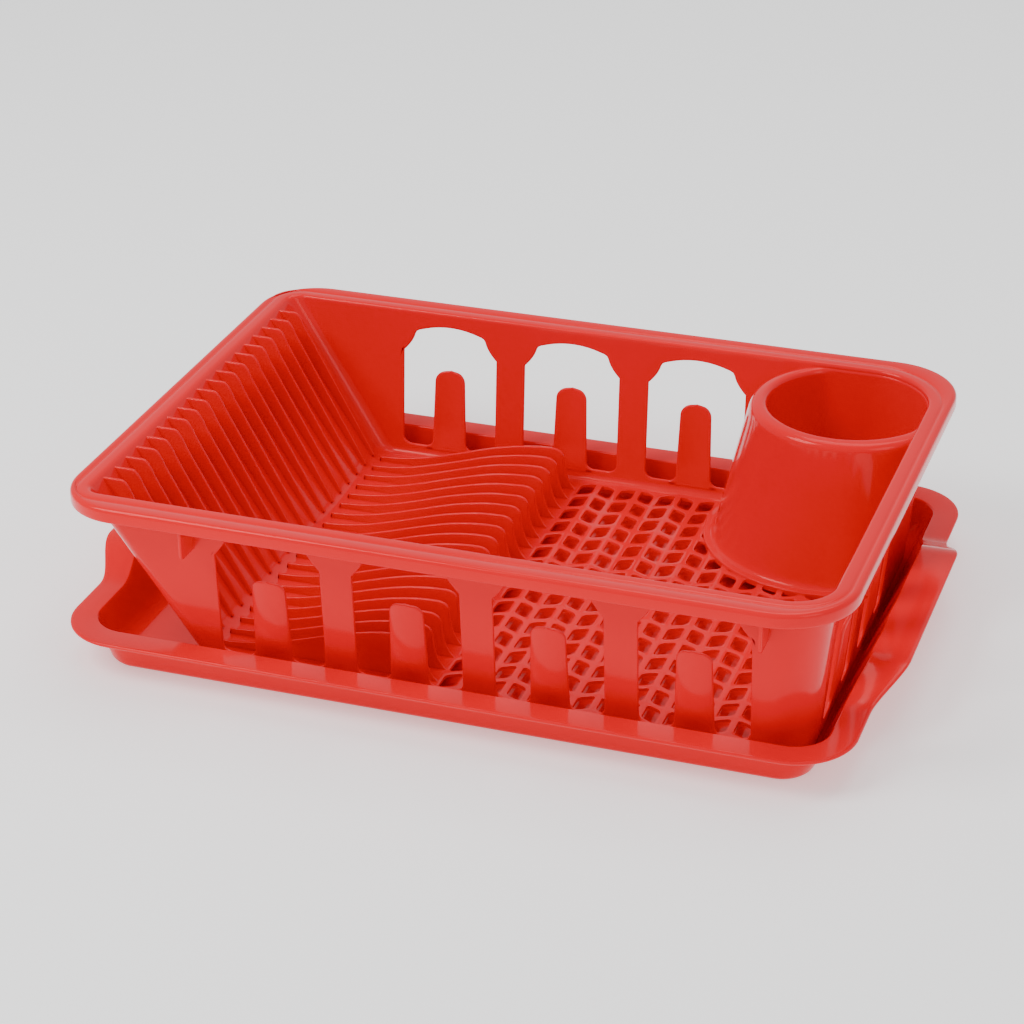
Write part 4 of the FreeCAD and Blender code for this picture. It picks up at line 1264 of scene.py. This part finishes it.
class RACK_OT_feet(RackOperator, bpy.types.Operator):
    """Give the basket's feet their plastic"""
    bl_idname = "rack.feet"
    bl_label = "Basket feet"

    def execute(self, context):
        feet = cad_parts["basket_feet"]
        feet.data.materials.clear()
        feet.data.materials.append(plastic("basket_plastic"))
        return {"FINISHED"}


class RACK_OT_stage(RackOperator, bpy.types.Operator):
    """Set up the pale floor, the soft lights and the camera"""
    bl_idname = "rack.stage"
    bl_label = "Stage"

    def execute(self, context):
        floor = stage_floor()
        for name, place, size, power in LIGHTS:
            area_light(name, place, size, power)
        world = bpy.data.worlds.new("studio")
        world.use_nodes = True
        sky = world.node_tree.nodes["Background"]
        sky.inputs["Color"].default_value = (1.0, 1.0, 1.0, 1.0)
        sky.inputs["Strength"].default_value = SKY_STRENGTH
        context.scene.world = world
        place_camera(context.scene)
        return {"FINISHED"}


def stage_floor():
    """A level sheet, wide enough to fill the view."""
    mesh = bpy.data.meshes.new("stage_floor")
    half = SHEET_HALF
    mesh.from_pydata([(-half, -half, 0), (half, -half, 0), (half, half, 0), (-half, half, 0)], [], [(0, 1, 2, 3)])
    floor = bpy.data.objects.new("stage_floor", mesh)
    bpy.context.scene.collection.objects.link(floor)
    material = bpy.data.materials.new("stage_white")
    nodes = Nodes(material)
    shader = nodes.node("ShaderNodeBsdfPrincipled", {}, {
        "Base Color": (0.85, 0.85, 0.85, 1.0), "Roughness": 0.7,
        "Emission Color": (1.0, 1.0, 1.0, 1.0), "Emission Strength": 0.5})
    nodes.node("ShaderNodeOutputMaterial", {}, {"Surface": shader.outputs[0]})
    mesh.materials.append(material)
    return floor


def area_light(name, place, size, power):
    """A square soft light at place, turned to the rack."""
    data = bpy.data.lights.new(name, "AREA")
    data.energy = power
    data.size = size
    light = bpy.data.objects.new(name, data)
    towards = -Vector(place)
    light.matrix_world = Matrix.Translation(place) @ towards.to_track_quat("-Z", "Y").to_matrix().to_4x4()
    bpy.context.scene.collection.objects.link(light)
    return light


def place_camera(scene):
    """A long lens, looking down on the rack from its front right."""
    data = bpy.data.cameras.new("camera")
    data.sensor_width = 36.0
    data.lens = CAMERA_LENS
    data.shift_x, data.shift_y = CAMERA_SHIFT
    data.clip_end = 50.0
    camera = bpy.data.objects.new("camera", data)
    turn = Matrix.Rotation(CAMERA_AZIMUTH, 4, "Z") @ Matrix.Rotation(math.pi / 2 - CAMERA_ELEVATION, 4, "X")
    camera.matrix_world = Matrix.Translation(CAMERA_PLACE) @ turn @ Matrix.Rotation(CAMERA_ROLL, 4, "Z")
    scene.collection.objects.link(camera)
    scene.camera = camera


OPERATORS = (
    RACK_OT_shell,
    RACK_OT_fingers,
    RACK_OT_ribs,
    RACK_OT_gussets,
    RACK_OT_floor,
    RACK_OT_cup,
    RACK_OT_feet,
    RACK_OT_tray,
    RACK_OT_stage,
)


class RACK_PT_panel(bpy.types.Panel):
    """Lists the steps that build the rack"""
    bl_label = "Dish drying rack"
    bl_space_type = "VIEW_3D"
    bl_region_type = "UI"
    bl_category = "Dish rack"

    def draw(self, context):
        for operator in OPERATORS:
            self.layout.operator(operator.bl_idname)


def register():
    """Register the classes and hang the sizes on the scene."""
    for name, group in GROUPS.items():
        bpy.utils.register_class(group)
        setattr(bpy.types.Scene, name, PointerProperty(type=group))
    for operator in OPERATORS:
        bpy.utils.register_class(operator)
    bpy.utils.register_class(RACK_PT_panel)


def unregister():
    """Undo register."""
    bpy.utils.unregister_class(RACK_PT_panel)
    for operator in reversed(OPERATORS):
        bpy.utils.unregister_class(operator)
    for name, group in GROUPS.items():
        delattr(bpy.types.Scene, name)
        bpy.utils.unregister_class(group)


def main():
    """Build every piece."""
    register()
    bpy.ops.rack.shell()
    bpy.ops.rack.fingers()
    bpy.ops.rack.ribs()
    bpy.ops.rack.gussets()
    bpy.ops.rack.floor()
    bpy.ops.rack.cup()
    bpy.ops.rack.feet()
    bpy.ops.rack.tray()
    bpy.ops.rack.stage()


if __name__ == "__main__":
    main()
